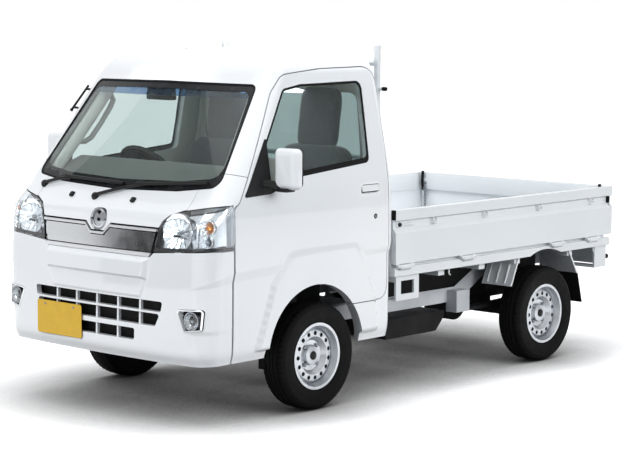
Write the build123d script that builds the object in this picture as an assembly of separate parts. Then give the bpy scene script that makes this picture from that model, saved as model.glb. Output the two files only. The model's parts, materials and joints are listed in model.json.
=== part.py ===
from build123d import *
from collections import namedtuple
from math import atan2, cos, pi, sin, sqrt
import os

os.makedirs("parts", exist_ok=True)

# Millimetres, +X forward, +Y to the vehicle's left, +Z up, ground at zero

# Cab body
nose = 1690.0
cab_rear = 296.0
body_half = 733.5
flare_half = 737.5
wall = 45.0
rear_wall_thick = 24.0
rear_round = 60.0
roof_split = 1706.0
rear_split = 590.0
rear_top = 1640.0
rear_low = 640.0
roof_top = 1757.0
roof_rib_tall = 5.0
roof_rib_half = 28.0
hood_half = 541.0
step_out = 12.0
trim_out = 8.0
post_pitch = 150.0
post_half = 7.0
post_depth = 15.0
mesh_thick = 8.0
boss_radius = 56.0
boss_front = 1668.0
boss_z = 957.0
plate_front = 1697.5
plate_thick = 2.0
plate_long = 330.0
plate_tall = 165.0
plate_y = -254.0
plate_low = 363.0
stay_half = 150.0

# Places past the cab that cutting prisms reach to
cut_front = 1800.0
cut_nose = 1500.0
cut_side = 1000.0
cut_inner = 300.0
cut_half = 800.0

# Doors
door_front = 1460.0
door_back = 355.0
door_gap = 5.0
door_inner = 565.0
hinge_in = 4.0
hinge_y = 720.0
hinge_relief = 20.0
pin_radius = 2.5
leaf_half = 4.2
hinge_heights = (480.0, 900.0)
hinge_tall = 60.0

# Glass
glass_depth = 5.0
glass_thick = 5.0
wiper_radius = 6.0

# Wheels
front_axle = 868.0
rear_axle_x = -1032.0
wheel_y = 652.0
axle_z = 268.0
tyre_radius = 268.0
tyre_width = 145.0
rim_radius = 152.0
flange_radius = 166.0
bore_radius = 15.1
spindle_radius = 15.0
vent_count = 15
vent_radius = 11.0
vent_circle = 112.0
kingpin_y = 545.0
strut_radius = 20.0
brake_radius = 82.0
arch_x = 895.0
arch_z = 285.0
arch_radius = 345.0

# Load bed
bed_front = 285.0
bed_floor = 660.0
gate_top = 945.0
gate_low = 668.0
deck_thick = 12.0
cross_half = 25.0
headboard_thick = 30.0
guard_half = 550.0
guard_top = 1780.0
guard_pipe = 17.0
rear_arch = 374.0
cap_long = 90.0
leaf_long = 18.0
pin_gap = 0.6
gate_outer = 722.0
gate_thick = 32.0
gate_rear = -1650.0
gate_hinge_y = 728.0
gate_hinge_z = 655.0
barrel_radius = 9.0
tail_outer = -1684.0
tail_thick = 29.0
tail_hinge_x = -1688.5
sill_low = 604.0
cross_low = 570.0
bed_gap = 5.0

# Chassis
rail_y = 350.0
rail_wide = 45.0
platform_z = 690.0
foot_z = 405.0
sheet = 20.0
run_gap = 0.3

# Seats
seat_y = 335.0
seat_half = 240.0
head_half = 128.0

# Steering
wheel_centre = (1000.0, -330.0, 1115.0)
wheel_tilt = 40.0
wheel_radius = 180.0
wheel_rim = 14.0


def box(x0, x1, y0, y1, z0, z1):
    return Pos((x0 + x1) / 2, (y0 + y1) / 2, (z0 + z1) / 2) * Box(x1 - x0, y1 - y0, z1 - z0)


def outline(points, rounds=()):
    face = make_face(Polyline(*points, close=True))
    for index, radius in rounds:
        vertex = face.vertices().sort_by_distance(Vector(*points[index], 0))[0]
        face = fillet(vertex, radius)
    return face


def side_prism(sketch, y0, y1):
    return extrude(Plane.XZ.offset(-y1) * sketch, y1 - y0)


def front_prism(sketch, x0, x1):
    return extrude(Plane.YZ.offset(x0) * sketch, x1 - x0)


def rod(start, end, radius):
    start = Vector(*start)
    span = Vector(*end) - start
    return Solid.make_cylinder(radius, span.length, Plane(origin=start, z_dir=span))


def mirrored(shape):
    return shape.mirror(Plane.XZ)


def both(shape):
    return [shape, mirrored(shape)]


def save(name, *shapes):
    solids = []
    for shape in shapes:
        solids.extend(shape.solids())
    export_step(solids[0] if len(solids) == 1 else Compound(solids), f"parts/{name}.step")


# Plan sections of the cab, each set in from the nose, the sides and the rear
Row = namedtuple("Row", "z front_in side_in bow corner rear_in inward down")
cab_rows = [
    Row(305, 22, 18, 8000, 105, 0, 1, 0),
    Row(375, 0, 6, 8000, 115, 0, 1, 0),
    Row(690, 8, 6, 8000, 115, 0, 1, 0),
    Row(745, 10, 0, 8000, 115, 0, 1, 0),
    Row(955, 32, 1, 8000, 120, 0, 1, 0),
    Row(1085, 132, 5, 7000, 120, 4, 1, 0),
    Row(1615, 487, 94, 2300, 90, 32, 1, 0),
    Row(1668, 527, 108, 2200, 90, 36, 1, 0.35),
    Row(1706, 580, 134, 2200, 100, 40, 0.8, 0.6),
    Row(1736, 660, 174, 2200, 110, 50, 0.5, 0.85),
    Row(1752, 770, 234, 2200, 130, 72, 0.2, 1),
    Row(roof_top, 860, 304, 2200, 150, 112, 0, 1),
]


def plan_wire(row, depth, z):
    inset = depth * row.inward
    front = nose - row.front_in - inset
    half = body_half - row.side_in - inset
    rear = cab_rear + row.rear_in + inset * rear_wall_thick / wall
    bow = row.bow - inset
    corner = row.corner - inset
    back = max(rear_round - inset, 15.0)
    reach = bow - corner
    cy = half - corner
    cx = front - bow + sqrt(reach * reach - cy * cy)
    turn = atan2(cy, cx - front + bow)
    middle = (turn + pi / 2) / 2
    tx, ty = cx + corner * cos(turn), cy + corner * sin(turn)
    mx, my = cx + corner * cos(middle), cy + corner * sin(middle)
    bite = back * (1 - sqrt(0.5))
    edges = [
        ThreePointArc((tx, -ty, z), (front, 0, z), (tx, ty, z)),
        ThreePointArc((tx, ty, z), (mx, my, z), (cx, half, z)),
        Line((cx, half, z), (rear + back, half, z)),
        ThreePointArc((rear + back, half, z), (rear + bite, half - bite, z), (rear, half - back, z)),
        Line((rear, half - back, z), (rear, back - half, z)),
        ThreePointArc((rear, back - half, z), (rear + bite, bite - half, z), (rear + back, -half, z)),
        Line((rear + back, -half, z), (cx, -half, z)),
        ThreePointArc((cx, -half, z), (mx, -my, z), (tx, -ty, z)),
    ]
    return Wire(edges)


def cab_solid(depth, drop=0.0):
    wires = []
    for index, row in enumerate(cab_rows):
        z = row.z - depth * row.down - (drop if index == 0 else 0)
        wires.append(plan_wire(row, depth, z))
    return Solid.make_loft(wires, ruled=True)


# Hollow cab with wheel arch flares, before it is split into panels
cab_outer = cab_solid(0)
cab_inner = cab_solid(wall, drop=30)
flare_face = outline(
    [(1312, 345), (1195, 660), (1080, 796), (610, 806), (535, 730), (445, 505), (420, 345)],
    [(1, 90), (2, 90), (3, 70), (4, 90)],
)
arch_cut = rod((arch_x, -900, arch_z), (arch_x, 900, arch_z), arch_radius)
arch_cut += box(arch_x - arch_radius, arch_x + arch_radius, -900, 900, 50, arch_z)
flares = Part() + both(side_prism(flare_face, body_half - wall, flare_half))
shell = cab_outer + flares - cab_inner - arch_cut

# Door outline, seen from the side
door_points = [
    (door_front, 270), (door_front, 1035), (1428, 1062), (1122, 1567), (1040, 1650), (760, 1673),
    (door_back, 1678), (door_back, 508), (640, 508), (640, 270),
]
door_face = outline(door_points, [(3, 120), (4, 90), (6, 95), (7, 60)])
door_hole = offset(door_face, door_gap, kind=Kind.INTERSECTION)
door_prism = side_prism(door_face, door_inner, cut_side)
door_room = side_prism(door_hole, door_inner - door_gap, cut_side)
window_points = [
    (1378, 1090), (1052, 1584), (922, 1604), (472, 1611), (484, 1205), (986, 1163), (1205, 1096),
]
window_face = outline(window_points, [(0, 12), (1, 45), (3, 40), (4, 30), (5, 60), (6, 60)])
window_prism = side_prism(window_face, cut_inner, cut_side)

hinge_x = door_front - hinge_in
door = (shell & door_prism) - window_prism
hinge_leaves = []
for z in hinge_heights:
    low, high = z - hinge_tall / 2, z + hinge_tall / 2
    door -= box(hinge_x - 16, door_front + 10, 500, hinge_y + 4.5, low, high)
    door += rod((hinge_x, hinge_y, low - 5), (hinge_x, hinge_y, high + 5), pin_radius)
    leaf = box(hinge_x - leaf_half, hinge_x + leaf_half, 640, hinge_y, low + 5, high - 5)
    leaf += rod((hinge_x, hinge_y, low + 5), (hinge_x, hinge_y, high - 5), leaf_half)
    leaf += box(hinge_x - leaf_half, 1475, 626, 646, low + 5, high - 5)
    leaf -= rod((hinge_x, hinge_y, low), (hinge_x, hinge_y, high), pin_radius + run_gap)
    hinge_leaves.append(leaf)
glass_skin = cab_solid(glass_depth) - cab_solid(glass_depth + glass_thick)
door_glass = glass_skin & window_prism

# Fixed cab panels, split along flat cuts
body = shell - door_room - mirrored(door_room)
relief = rod((hinge_x, hinge_y, 250), (hinge_x, hinge_y, 1090), hinge_relief)
body -= relief
body -= mirrored(relief)
screen_points = [
    (-652, 1134), (-408, 1106), (0, 1094), (408, 1106), (652, 1134), (566, 1606), (0, 1613), (-566, 1606),
]
screen_face = outline(screen_points, [(0, 45), (4, 45), (5, 40), (7, 40)])
screen_prism = front_prism(screen_face, 1000, cut_front)
rear_face = outline([(-520, 1170), (520, 1170), (500, 1540), (-500, 1540)], [(i, 50) for i in range(4)])
rear_prism = front_prism(rear_face, 200, 450)
body -= screen_prism
windscreen = glass_skin & screen_prism

split_x = door_front + door_gap
lamp_points = [
    (390, 824), (399, 886), (411, 937), (432, 975), (461, 1003), (525, 1026), (658, 1049), (760, 1062),
    (760, 843), (708, 847), (559, 838),
]
lamp_prism = front_prism(outline(lamp_points), split_x, cut_front)
lamp_prisms = both(lamp_prism)
grille_points = [
    (-368, 803), (368, 803), (392, 824), (430, 938), (90, 938), (48, 898), (-48, 898), (-90, 938),
    (-430, 938), (-392, 824),
]
grille_prism = front_prism(outline(grille_points), split_x, cut_front)
hood_prism = box(split_x, cut_front, -hood_half, hood_half, 898, 1300)
low_prism = box(split_x, cut_front, -cut_half, cut_half, 200, 850)
roof_box = box(0, cut_front, -cut_half, cut_half, roof_split, 1900)
rear_box = box(200, 450, -rear_split, rear_split, 250, rear_top)

headlamps = [body & prism for prism in lamp_prisms]
grille = (body & grille_prism) - lamp_prisms[0] - lamp_prisms[1]
hood = (body & hood_prism) - lamp_prisms[0] - lamp_prisms[1] - grille_prism
bumper = (body & low_prism) - lamp_prisms[0] - lamp_prisms[1] - grille_prism
roof = body & roof_box
for y in (-270, -90, 90, 270):
    roof += box(440, 800, y - roof_rib_half, y + roof_rib_half, roof_top - 2, roof_top + roof_rib_tall)
rear_wall = (body & rear_box) - rear_prism - box(200, 450, -rear_split, rear_split, 250, rear_low)
rear_glass = glass_skin & rear_prism
frame = body - lamp_prisms[0] - lamp_prisms[1] - grille_prism - hood_prism - low_prism
frame = frame - roof_box - rear_box
hinge_post = box(1468, 1520, 626, 720, foot_z, 1100) & cab_inner
for post in both(hinge_post + hinge_leaves):
    frame += post

# Bumper openings, lamps and plate
Opening = namedtuple("Opening", "low high low_half high_half")
openings = [Opening(548, 597, 448, 458), Opening(478, 538, 412, 443), Opening(399, 455, 276, 276)]
for row in openings:
    slot = outline([
        (-row.low_half, row.low), (row.low_half, row.low),
        (row.high_half, row.high), (-row.high_half, row.high),
    ])
    bumper -= front_prism(slot, cut_nose, cut_front)
posts = Part()
for index in range(-2, 3):
    y = index * post_pitch
    posts += box(cut_nose, cut_front, y - post_half, y + post_half, openings[1].low - 8, openings[0].high + 3)
bumper += (cab_solid(post_depth) - cab_solid(wall)) & posts
fog_points = [(546, 572), (697, 581), (690, 478), (594, 464)]
fog_prism = front_prism(outline(fog_points, [(i, 15) for i in range(4)]), split_x, cut_front)
fog_prisms = both(fog_prism)
fog_lamps = [bumper & prism for prism in fog_prisms]
bumper = bumper - fog_prisms[0] - fog_prisms[1]
mesh_skin = cab_solid(wall) - cab_solid(wall + mesh_thick)
mesh_backing = mesh_skin & box(cut_nose, cut_front, -475, 475, 385, 608)
step_face = outline([(-352, 703), (352, 703), (362, 795), (-362, 795)])
step_low = outline([(-318, 612), (318, 612), (352, 691), (-352, 691)])
raised = cab_solid(-step_out) - cab_outer
bumper_steps = [raised & front_prism(face, cut_nose, cut_front) for face in (step_face, step_low)]
for step in bumper_steps:
    bumper += step
strip_points = [
    (-430, 926), (-86, 926), (-46, 888), (46, 888), (86, 926), (430, 926), (430, 938), (90, 938), (48, 898),
    (-48, 898), (-90, 938), (-430, 938),
]
strip_prism = front_prism(outline(strip_points), split_x, cut_front)
low_strip = box(split_x, cut_front, -368, 368, 804, 822)
trim_skin = cab_solid(-trim_out) - cab_outer
trim = [(trim_skin & strip_prism) - lamp_prisms[0] - lamp_prisms[1], trim_skin & low_strip]
boss = rod((1600, 0, boss_z), (boss_front, 0, boss_z), boss_radius) - cab_outer
plate_back = plate_front - plate_thick
plate = box(
    plate_back, plate_front, plate_y - plate_long / 2, plate_y + plate_long / 2,
    plate_low, plate_low + plate_tall,
)
plate_stay = box(1630, plate_back, plate_y - stay_half, plate_y + stay_half, 390, 500) - cab_outer

# Floor with foot well, riser and seat platform
floor_back = cab_rear + rear_wall_thick
floor_points = [
    (1660, 385), (1238, 385), (1178, platform_z - sheet), (floor_back, platform_z - sheet),
    (floor_back, platform_z), (1192, platform_z), (1252, foot_z), (1580, foot_z), (1600, 800), (1660, 800),
]
floor = side_prism(outline(floor_points), -670, 670) & cab_inner
floor -= mesh_backing
dash_points = [(1560, 1060), (1340, 1086), (1240, 1060), (1212, 960), (1262, 800), (1560, 800)]
dash = side_prism(outline(dash_points, [(2, 40), (3, 40)]), -612, 612) & cab_inner
dash -= floor

# Steering column and wheel
tilt = wheel_tilt * pi / 180
wheel_axis = (-cos(tilt), 0, sin(tilt))
centre = Vector(*wheel_centre)
along = Vector(*wheel_axis)
wheel_plane = Plane(origin=centre, x_dir=(0, 1, 0), z_dir=along)
wheel_ring = revolve(Plane.XZ * (Pos(wheel_radius, 0) * Circle(wheel_rim)), Axis.Z)
hub = Pos(0, 0, -18) * Cylinder(62, 44)
steering = hub + box(-wheel_radius, wheel_radius, -20, 20, -10, 4) + box(-20, 20, -wheel_radius, 0, -10, 4)
steering_wheel = wheel_plane * (steering + wheel_ring)
column_top = centre - along * (40 + 0.6)
column_end = centre - along * 420
column = rod(tuple(column_end), tuple(column_top), 26) - dash


# Seats on the platform
def seat(y):
    cushion = box(450, 960, y - seat_half, y + seat_half, platform_z, 845)
    cushion = fillet(cushion.edges().filter_by(Axis.Y).group_by(Axis.Z)[-1], 40)
    back_face = outline([(452, 800), (580, 800), (505, 1290), (405, 1290)], [(2, 40), (3, 30)])
    back = side_prism(back_face, y - seat_half, y + seat_half)
    head_face = outline([(410, 1250), (500, 1250), (470, 1568), (405, 1568)], [(2, 35), (3, 20)])
    return cushion + back + side_prism(head_face, y - head_half, y + head_half)


seats = [seat(seat_y), seat(-seat_y)]

# Mirrors on the doors
mirror = box(1168, 1233, 752, 900, 1120, 1315)
mirror = fillet(mirror.edges(), 25)
mirror_arm = rod((1252, 660, 1150), (1215, 780, 1150), 16)
mirror = (mirror + mirror_arm) - cab_outer
sail = cab_outer - cab_solid(glass_depth)
sail = sail & window_prism & box(1205, 1400, cut_inner, cut_side, 1080, 1345)
mirror += sail

# Gates, cut from one section along the side and the tail
gate_section = [
    (0, gate_low), (0, 826), (-20, 850), (-20, 888), (0, 892), (0, gate_top), (-gate_thick, gate_top),
    (-gate_thick, gate_low),
]
side_face = outline([(gate_outer + y, z) for y, z in gate_section])
gate = front_prism(side_face, gate_rear, bed_front - 3)
hinge_places = (210.0, -315.0, -1130.0, -1480.0)
caps = []
for x in hinge_places:
    cap = rod((x - cap_long / 2, gate_hinge_y, gate_hinge_z), (x + cap_long / 2, gate_hinge_y, gate_hinge_z),
              barrel_radius)
    cap += box(x - cap_long / 2, x + cap_long / 2, 705, gate_hinge_y, gate_hinge_z - 18, gate_hinge_z)
    caps.append(cap)
    for side in (-1, 1):
        start = x + side * (cap_long / 2 + pin_gap)
        end = start + side * leaf_long
        leaf = rod((start, gate_hinge_y, gate_hinge_z), (end, gate_hinge_y, gate_hinge_z), barrel_radius)
        low, high = sorted((start, end))
        leaf += box(low, high, gate_hinge_y - 14, gate_hinge_y - 6, gate_hinge_z, gate_low + 4)
        gate += leaf
tail_section = [(tail_outer - y, z) for y, z in gate_section[:6]]
tail_section += [(tail_outer + tail_thick, gate_top), (tail_outer + tail_thick, gate_low)]
tail_half = gate_outer - 6
tail = side_prism(outline(tail_section), -tail_half, tail_half)
tail_caps = []
for y in (-520.0, 0.0, 520.0):
    cap = rod((tail_hinge_x, y - cap_long / 2, gate_hinge_z), (tail_hinge_x, y + cap_long / 2, gate_hinge_z),
              barrel_radius)
    cap += box(tail_hinge_x, -1650, y - cap_long / 2, y + cap_long / 2, gate_hinge_z - 18, gate_hinge_z - 3)
    tail_caps.append(cap)
    for side in (-1, 1):
        start = y + side * (cap_long / 2 + pin_gap)
        end = start + side * leaf_long
        leaf = rod((tail_hinge_x, start, gate_hinge_z), (tail_hinge_x, end, gate_hinge_z), barrel_radius)
        low, high = sorted((start, end))
        leaf += box(tail_hinge_x - 1, tail_hinge_x + 9, low, high, gate_hinge_z, gate_low + 4)
        tail += leaf

# Bed floor with sills, cross members, hinge caps and rear brackets
deck_half = gate_outer - gate_thick - bed_gap
deck = box(-1648, bed_front, -deck_half, deck_half, bed_floor - deck_thick, bed_floor)
for y in range(-600, 601, 100):
    deck += box(-1600, 200, y - 22, y + 22, bed_floor, bed_floor + 5)
sill = box(-1660, bed_front, 672, gate_outer - 4, sill_low, 648)
sill -= rod((rear_axle_x, 0, 260), (rear_axle_x, 900, 260), rear_arch)
for part in both(sill):
    deck += part
cross_x = (230.0, -130.0, -480.0, -800.0, -1300.0, -1610.0)
for x in cross_x:
    deck += box(x - cross_half, x + cross_half, -690, 690, cross_low, bed_floor - deck_thick)
for cap in caps:
    for part in both(cap):
        deck += part
for cap in tail_caps:
    deck += cap
deck += box(-1655, -1610, -690, 690, 600, bed_floor - deck_thick)
bracket = box(70, 255, 690, 702, 474, 610) - box(110, 215, 650, 800, 505, 575)
bracket += box(70, 255, 640, 702, 474, 484)
rear_plate = box(-1650, -1535, 690, 702, 478, 610)
rear_plate += box(-1600, -1535, 450, 702, 478, 490)
for part in both(bracket + rear_plate):
    deck += part
headboard = box(bed_front - headboard_thick, bed_front, -deck_half, deck_half, bed_floor, gate_top)
headboard -= box(bed_front - 12, bed_front + 5, -620, 620, 700, 880)
guard = Part()
guard_x = bed_front - headboard_thick - guard_pipe
for y in (-guard_half, guard_half):
    guard += rod((guard_x, y, bed_floor), (guard_x, y, guard_top), guard_pipe)
for z in (1200, 1690):
    guard += rod((guard_x, -guard_half, z), (guard_x, guard_half, z), guard_pipe - 3)
for side in (-1, 1):
    guard += rod((guard_x, side * guard_half, 1560), (guard_x, side * 612, 1560), 8)

# Ladder frame
rail_points = [
    (1560, 305), (1180, 305), (300, 350), (-520, 350), (-800, 490), (-1600, 490), (-1600, cross_low),
    (-780, cross_low), (-500, 430), (300, 430), (1180, 385), (1560, 385),
]
rail = side_prism(outline(rail_points), rail_y, rail_y + rail_wide)
chassis = Part() + both(rail)
for x, low in ((1530, 315), (1120, 320), (120, 360), (-420, 360), (-860, 500), (-1280, 500), (-1560, 500)):
    chassis += box(x - cross_half, x + cross_half, -rail_y, rail_y, low, low + 60)
for x in (230.0, -130.0, -480.0):
    for post in both(box(x - 22, x + 22, rail_y, rail_y + rail_wide, 400, cross_low)):
        chassis += post
hanger = box(-660, -545, rail_y + rail_wide, 470, 300, 420)
shackle = box(-1480, -1420, rail_y + rail_wide, 470, 420, 560)
for part in both(hanger + shackle):
    chassis += part

# Rear axle, springs and drive
axle = rod((rear_axle_x, -wheel_y, axle_z), (rear_axle_x, wheel_y, axle_z), spindle_radius)
axle += rod((rear_axle_x, -560, axle_z), (rear_axle_x, 560, axle_z), 36)
axle += rod((rear_axle_x, -75, axle_z), (rear_axle_x, 75, axle_z), 105)
for y in (-1, 1):
    axle += rod((rear_axle_x, y * 560, axle_z), (rear_axle_x, y * 604, axle_z), 95)
spring_face = outline([
    (-600, 300), (-600, 312), (-1032, 325), (-1450, 420),
    (-1450, 408), (-1200, 330), (-1032, 304), (-860, 300),
])
spring = side_prism(spring_face, 405, 465) - axle
springs = both(spring - chassis)
engine = box(300, 760, -215, 215, 235, 640)
shaft = rod((310, 0, 330), (-930, 0, 290), 30) - axle - engine
tank = box(-320, 165, 60, 560, 245, 350)
tank = chamfer(tank.edges().filter_by(Axis.Y).group_by(Axis.Z)[0].sort_by(Axis.X)[0], 70)
tank -= chassis
muffler = rod((-300, -250, 290), (-700, -250, 290), 70)
pipe_points = [(380, -205, 300), (180, -250, 300), (-310, -250, 290)]
for start, end in zip(pipe_points, pipe_points[1:]):
    muffler += rod(start, end, 20)
muffler += Pos(*pipe_points[1]) * Sphere(20)
muffler -= engine

# Front suspension, knuckles and steering arms
strut_top = platform_z - sheet
knuckle = box(front_axle - 24, front_axle + 24, 522, 568, 180, 430)
knuckle += rod((front_axle, 560, axle_z), (front_axle, wheel_y, axle_z), spindle_radius)
knuckle += rod((front_axle, 568, axle_z), (front_axle, 598, axle_z), brake_radius)
knuckle -= rod((front_axle, kingpin_y, 345), (front_axle, kingpin_y, 500), strut_radius + run_gap)
strut = rod((front_axle, kingpin_y, 350), (front_axle, kingpin_y, strut_top), strut_radius)
arm = box(front_axle - 40, front_axle + 40, rail_y + rail_wide - 5, 566, 165, 179.5)
arm += box(front_axle - 40, front_axle + 40, rail_y, rail_y + rail_wide, 165, 330)
suspension = both(strut) + both(arm - chassis)


# Wheels
def wheel(x, side):
    half = tyre_width / 2
    section = [
        (rim_radius + 4, -half + 16), (flange_radius + 2, -half + 16), (flange_radius + 6, -half + 10),
        (225, -half), (252, -half + 8), (tyre_radius, -half + 26), (tyre_radius, half - 26), (252, half - 8),
        (225, half), (flange_radius + 6, half - 10), (flange_radius + 2, half - 16),
        (rim_radius + 4, half - 16),
    ]
    tyre_face = outline(section)
    tyre_ring = revolve(Plane.XY * tyre_face, Axis.Y)
    rim_section = [
        (rim_radius, -half + 10), (flange_radius, -half + 10), (flange_radius, -half + 13),
        (rim_radius + 4, -half + 13.5), (rim_radius + 4, half - 13.5), (flange_radius, half - 13),
        (flange_radius, half - 10), (rim_radius, half - 10), (140, 30), (140, 22), (125, 36), (95, 38),
        (75, 14), (52, 12), (46, 30), (20, 34), (20, 16), (bore_radius, 16), (bore_radius, -20),
        (46, -20), (46, 0),
        (80, 4), (98, 28), (120, 26), (136, 10), (136, -20), (146, -40),
    ]
    rim_ring = revolve(Plane.XY * outline(rim_section), Axis.Y)
    for index in range(vent_count):
        angle = 2 * pi * index / vent_count
        spot = (vent_circle * cos(angle), vent_circle * sin(angle))
        rim_ring -= rod((spot[0], 0, spot[1]), (spot[0], 60, spot[1]), vent_radius)
    if side < 0:
        tyre_ring = mirrored(tyre_ring)
        rim_ring = mirrored(rim_ring)
    place = Pos(x, side * wheel_y, axle_z)
    return place * tyre_ring, place * rim_ring


# Lamps, guards and flaps at the rear
rear_lamps = both(box(-1668, -1650.5, 420, 620, 500, 580))
lamp_stay = box(-1650.5, -1635, 400, 690, 490, 600)
for part in both(lamp_stay):
    deck += part
guard_front = side_prism(outline([(-800, 604), (-812, 604), (-742, 450), (-730, 450)]), 500, 700)
guard_rear = side_prism(outline([(-1275, 604), (-1287, 604), (-1372, 465), (-1360, 465)]), 500, 700)
mudguards = []
for part in (guard_front, guard_rear):
    mudguards.extend(both(part - deck))
flap = side_prism(outline([(-1366, 472), (-1372.2, 465), (-1420, 290), (-1412, 290)]), 500, 700) - guard_rear
flaps = both(flap)


# Wipers rest along the foot of the screen
def skin_point(y, z, out):
    places = []
    for row in cab_rows:
        front = nose - row.front_in
        half = body_half - row.side_in
        reach = row.bow - row.corner
        cy = half - row.corner
        cx = front - row.bow + sqrt(reach * reach - cy * cy)
        edge = row.bow * cy / reach
        if abs(y) <= edge:
            places.append(front - row.bow + sqrt(row.bow * row.bow - y * y))
        else:
            places.append(cx + sqrt(max(row.corner * row.corner - (abs(y) - cy) ** 2, 0)))
    for index in range(len(cab_rows) - 1):
        low, high = cab_rows[index].z, cab_rows[index + 1].z
        if low <= z <= high:
            share = (z - low) / (high - low)
            return (places[index] * (1 - share) + places[index + 1] * share + out, y, z)


wipers = []
for pivot, elbow, tip in (
    ((-536, 1084), (-316, 1124), (60, 1116)),
    ((-103, 1052), (215, 1123), (589, 1146)),
):
    points = [skin_point(*pivot, -12), skin_point(*pivot, 10), skin_point(*elbow, 10), skin_point(*tip, 6)]
    wiper = Part()
    for start, end in zip(points, points[1:]):
        wiper += rod(start, end, wiper_radius)
    for point in points[1:3]:
        wiper += Pos(*point) * Sphere(wiper_radius)
    wipers.append(wiper - cab_outer)

save("cab_frame", frame)
save("cab_floor", floor)
save("front_panel", hood)
save("front_bumper", bumper)
save("grille_panel", grille)
save("grille_trim", *trim)
save("front_boss", boss)
save("bumper_mesh", mesh_backing)
save("headlamps", *headlamps)
save("fog_lamps", *fog_lamps)
save("number_plate", plate)
save("plate_stay", plate_stay)
save("windscreen", windscreen)
save("roof_panel", roof)
save("rear_wall", rear_wall)
save("rear_glass", rear_glass)
save("dashboard", dash)
save("steering_column", column)
save("steering_wheel", steering_wheel)
save("seat_left", seats[0])
save("seat_right", seats[1])
save("wipers", *wipers)
for name, change in (("left", lambda shape: shape), ("right", mirrored)):
    save(f"door_{name}", change(door))
    save(f"door_glass_{name}", change(door_glass))
    save(f"mirror_{name}", change(mirror))
    save(f"gate_{name}", change(gate))
    save(f"knuckle_{name}", change(knuckle))
save("gate_tail", tail)
save("bed_deck", deck)
save("headboard", headboard)
save("guard_frame", guard)
save("chassis_frame", chassis)
save("rear_axle", axle)
save("leaf_springs", *springs)
save("front_suspension", *suspension)
save("engine", engine)
save("propshaft", shaft)
save("fuel_tank", tank)
save("exhaust", muffler)
save("rear_lamps", *rear_lamps)
save("mudguards", *mudguards)
save("mudflaps", *flaps)
for name, x, side in (
    ("front_left", front_axle, 1), ("front_right", front_axle, -1),
    ("rear_left", rear_axle_x, 1), ("rear_right", rear_axle_x, -1),
):
    tyre_part, rim_part = wheel(x, side)
    save(f"tyre_{name}", tyre_part)
    save(f"rim_{name}", rim_part)
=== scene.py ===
import bpy
import bmesh
import json
import numpy as np
from math import atan2, cos, pi, radians, sin, sqrt
from mathutils import Matrix, Vector
from mathutils.bvhtree import BVHTree


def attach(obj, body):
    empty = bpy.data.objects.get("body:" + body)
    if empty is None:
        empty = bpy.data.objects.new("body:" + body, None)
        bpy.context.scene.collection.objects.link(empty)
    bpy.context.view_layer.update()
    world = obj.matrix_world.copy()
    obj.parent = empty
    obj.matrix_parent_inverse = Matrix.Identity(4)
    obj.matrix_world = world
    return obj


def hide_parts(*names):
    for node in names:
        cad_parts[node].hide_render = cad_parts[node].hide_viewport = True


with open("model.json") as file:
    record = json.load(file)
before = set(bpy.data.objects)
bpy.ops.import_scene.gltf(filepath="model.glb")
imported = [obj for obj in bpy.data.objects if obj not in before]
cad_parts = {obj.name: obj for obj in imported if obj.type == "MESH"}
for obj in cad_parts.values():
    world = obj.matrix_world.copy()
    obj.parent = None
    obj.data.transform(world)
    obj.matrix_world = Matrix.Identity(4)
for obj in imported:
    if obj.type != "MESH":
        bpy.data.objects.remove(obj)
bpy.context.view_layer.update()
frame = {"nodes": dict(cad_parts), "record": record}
print("frame loaded")


def hexColour(code, alpha=1.0):  # sRGB hex to the linear values that Blender wants
    channels = [int(code[i:i + 2], 16) / 255 for i in (1, 3, 5)]
    return [c / 12.92 if c <= 0.04045 else ((c + 0.055) / 1.055) ** 2.4 for c in channels] + [alpha]


def addNode(tree, kind, settings=None, links=None):  # a node with its settings and incoming links
    node = tree.nodes.new(kind)
    for key, value in (settings or {}).items():
        if isinstance(key, int) or key in node.inputs:
            node.inputs[key].default_value = value
        else:
            setattr(node, key, value)
    for key, source in (links or {}).items():
        tree.links.new(source, node.inputs[key])
    return node


def startMaterial(name, sockets):
    material = bpy.data.materials.new(name)
    material.use_nodes = True
    tree = material.node_tree
    shader = tree.nodes["Principled BSDF"]
    for key, value in sockets.items():
        shader.inputs[key].default_value = value
    place = addNode(tree, "ShaderNodeTexCoord")
    return material, tree, shader, place.outputs["Object"]


def speckle(tree, place, millimetres, detail=2.0):  # noise whose grains are about that far apart
    return addNode(tree, "ShaderNodeTexNoise", {"Scale": 1000 / millimetres, "Detail": detail},
                   {"Vector": place})


def bumpFrom(tree, shader, height, distance, strength):
    bump = addNode(tree, "ShaderNodeBump", {"Distance": distance, "Strength": strength}, {"Height": height})
    tree.links.new(bump.outputs["Normal"], shader.inputs["Normal"])


def colourFrom(tree, shader, factor, low, high):
    ramp = addNode(tree, "ShaderNodeValToRGB", links={"Fac": factor})
    ramp.color_ramp.elements[0].color = hexColour(low)
    ramp.color_ramp.elements[1].color = hexColour(high)
    ramp.color_ramp.elements[0].position = 0.3
    ramp.color_ramp.elements[1].position = 0.7
    tree.links.new(ramp.outputs["Color"], shader.inputs["Base Color"])


def roughFrom(tree, shader, factor, low, high):
    limits = {"From Min": 0.3, "From Max": 0.7, "To Min": low, "To Max": high}
    node = addNode(tree, "ShaderNodeMapRange", limits, {"Value": factor})
    tree.links.new(node.outputs["Result"], shader.inputs["Roughness"])


# baked white enamel: clean pale body, sharp clear coat, faint orange peel
def sprayedEnamel(name, light, dark, coat):
    material, tree, shader, place = startMaterial(name, {
        "Roughness": 0.38, "IOR": 1.5, "Coat Weight": coat, "Coat Roughness": 0.04, "Coat IOR": 1.5})
    drift = speckle(tree, place, 600, 1.0)
    colourFrom(tree, shader, drift.outputs["Fac"], dark, light)
    peel = speckle(tree, place, 9, 1.0)  # real peel is about 2 mm, drawn coarser to show
    bumpFrom(tree, shader, peel.outputs["Fac"], 0.0002, 0.12)
    return material


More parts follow.
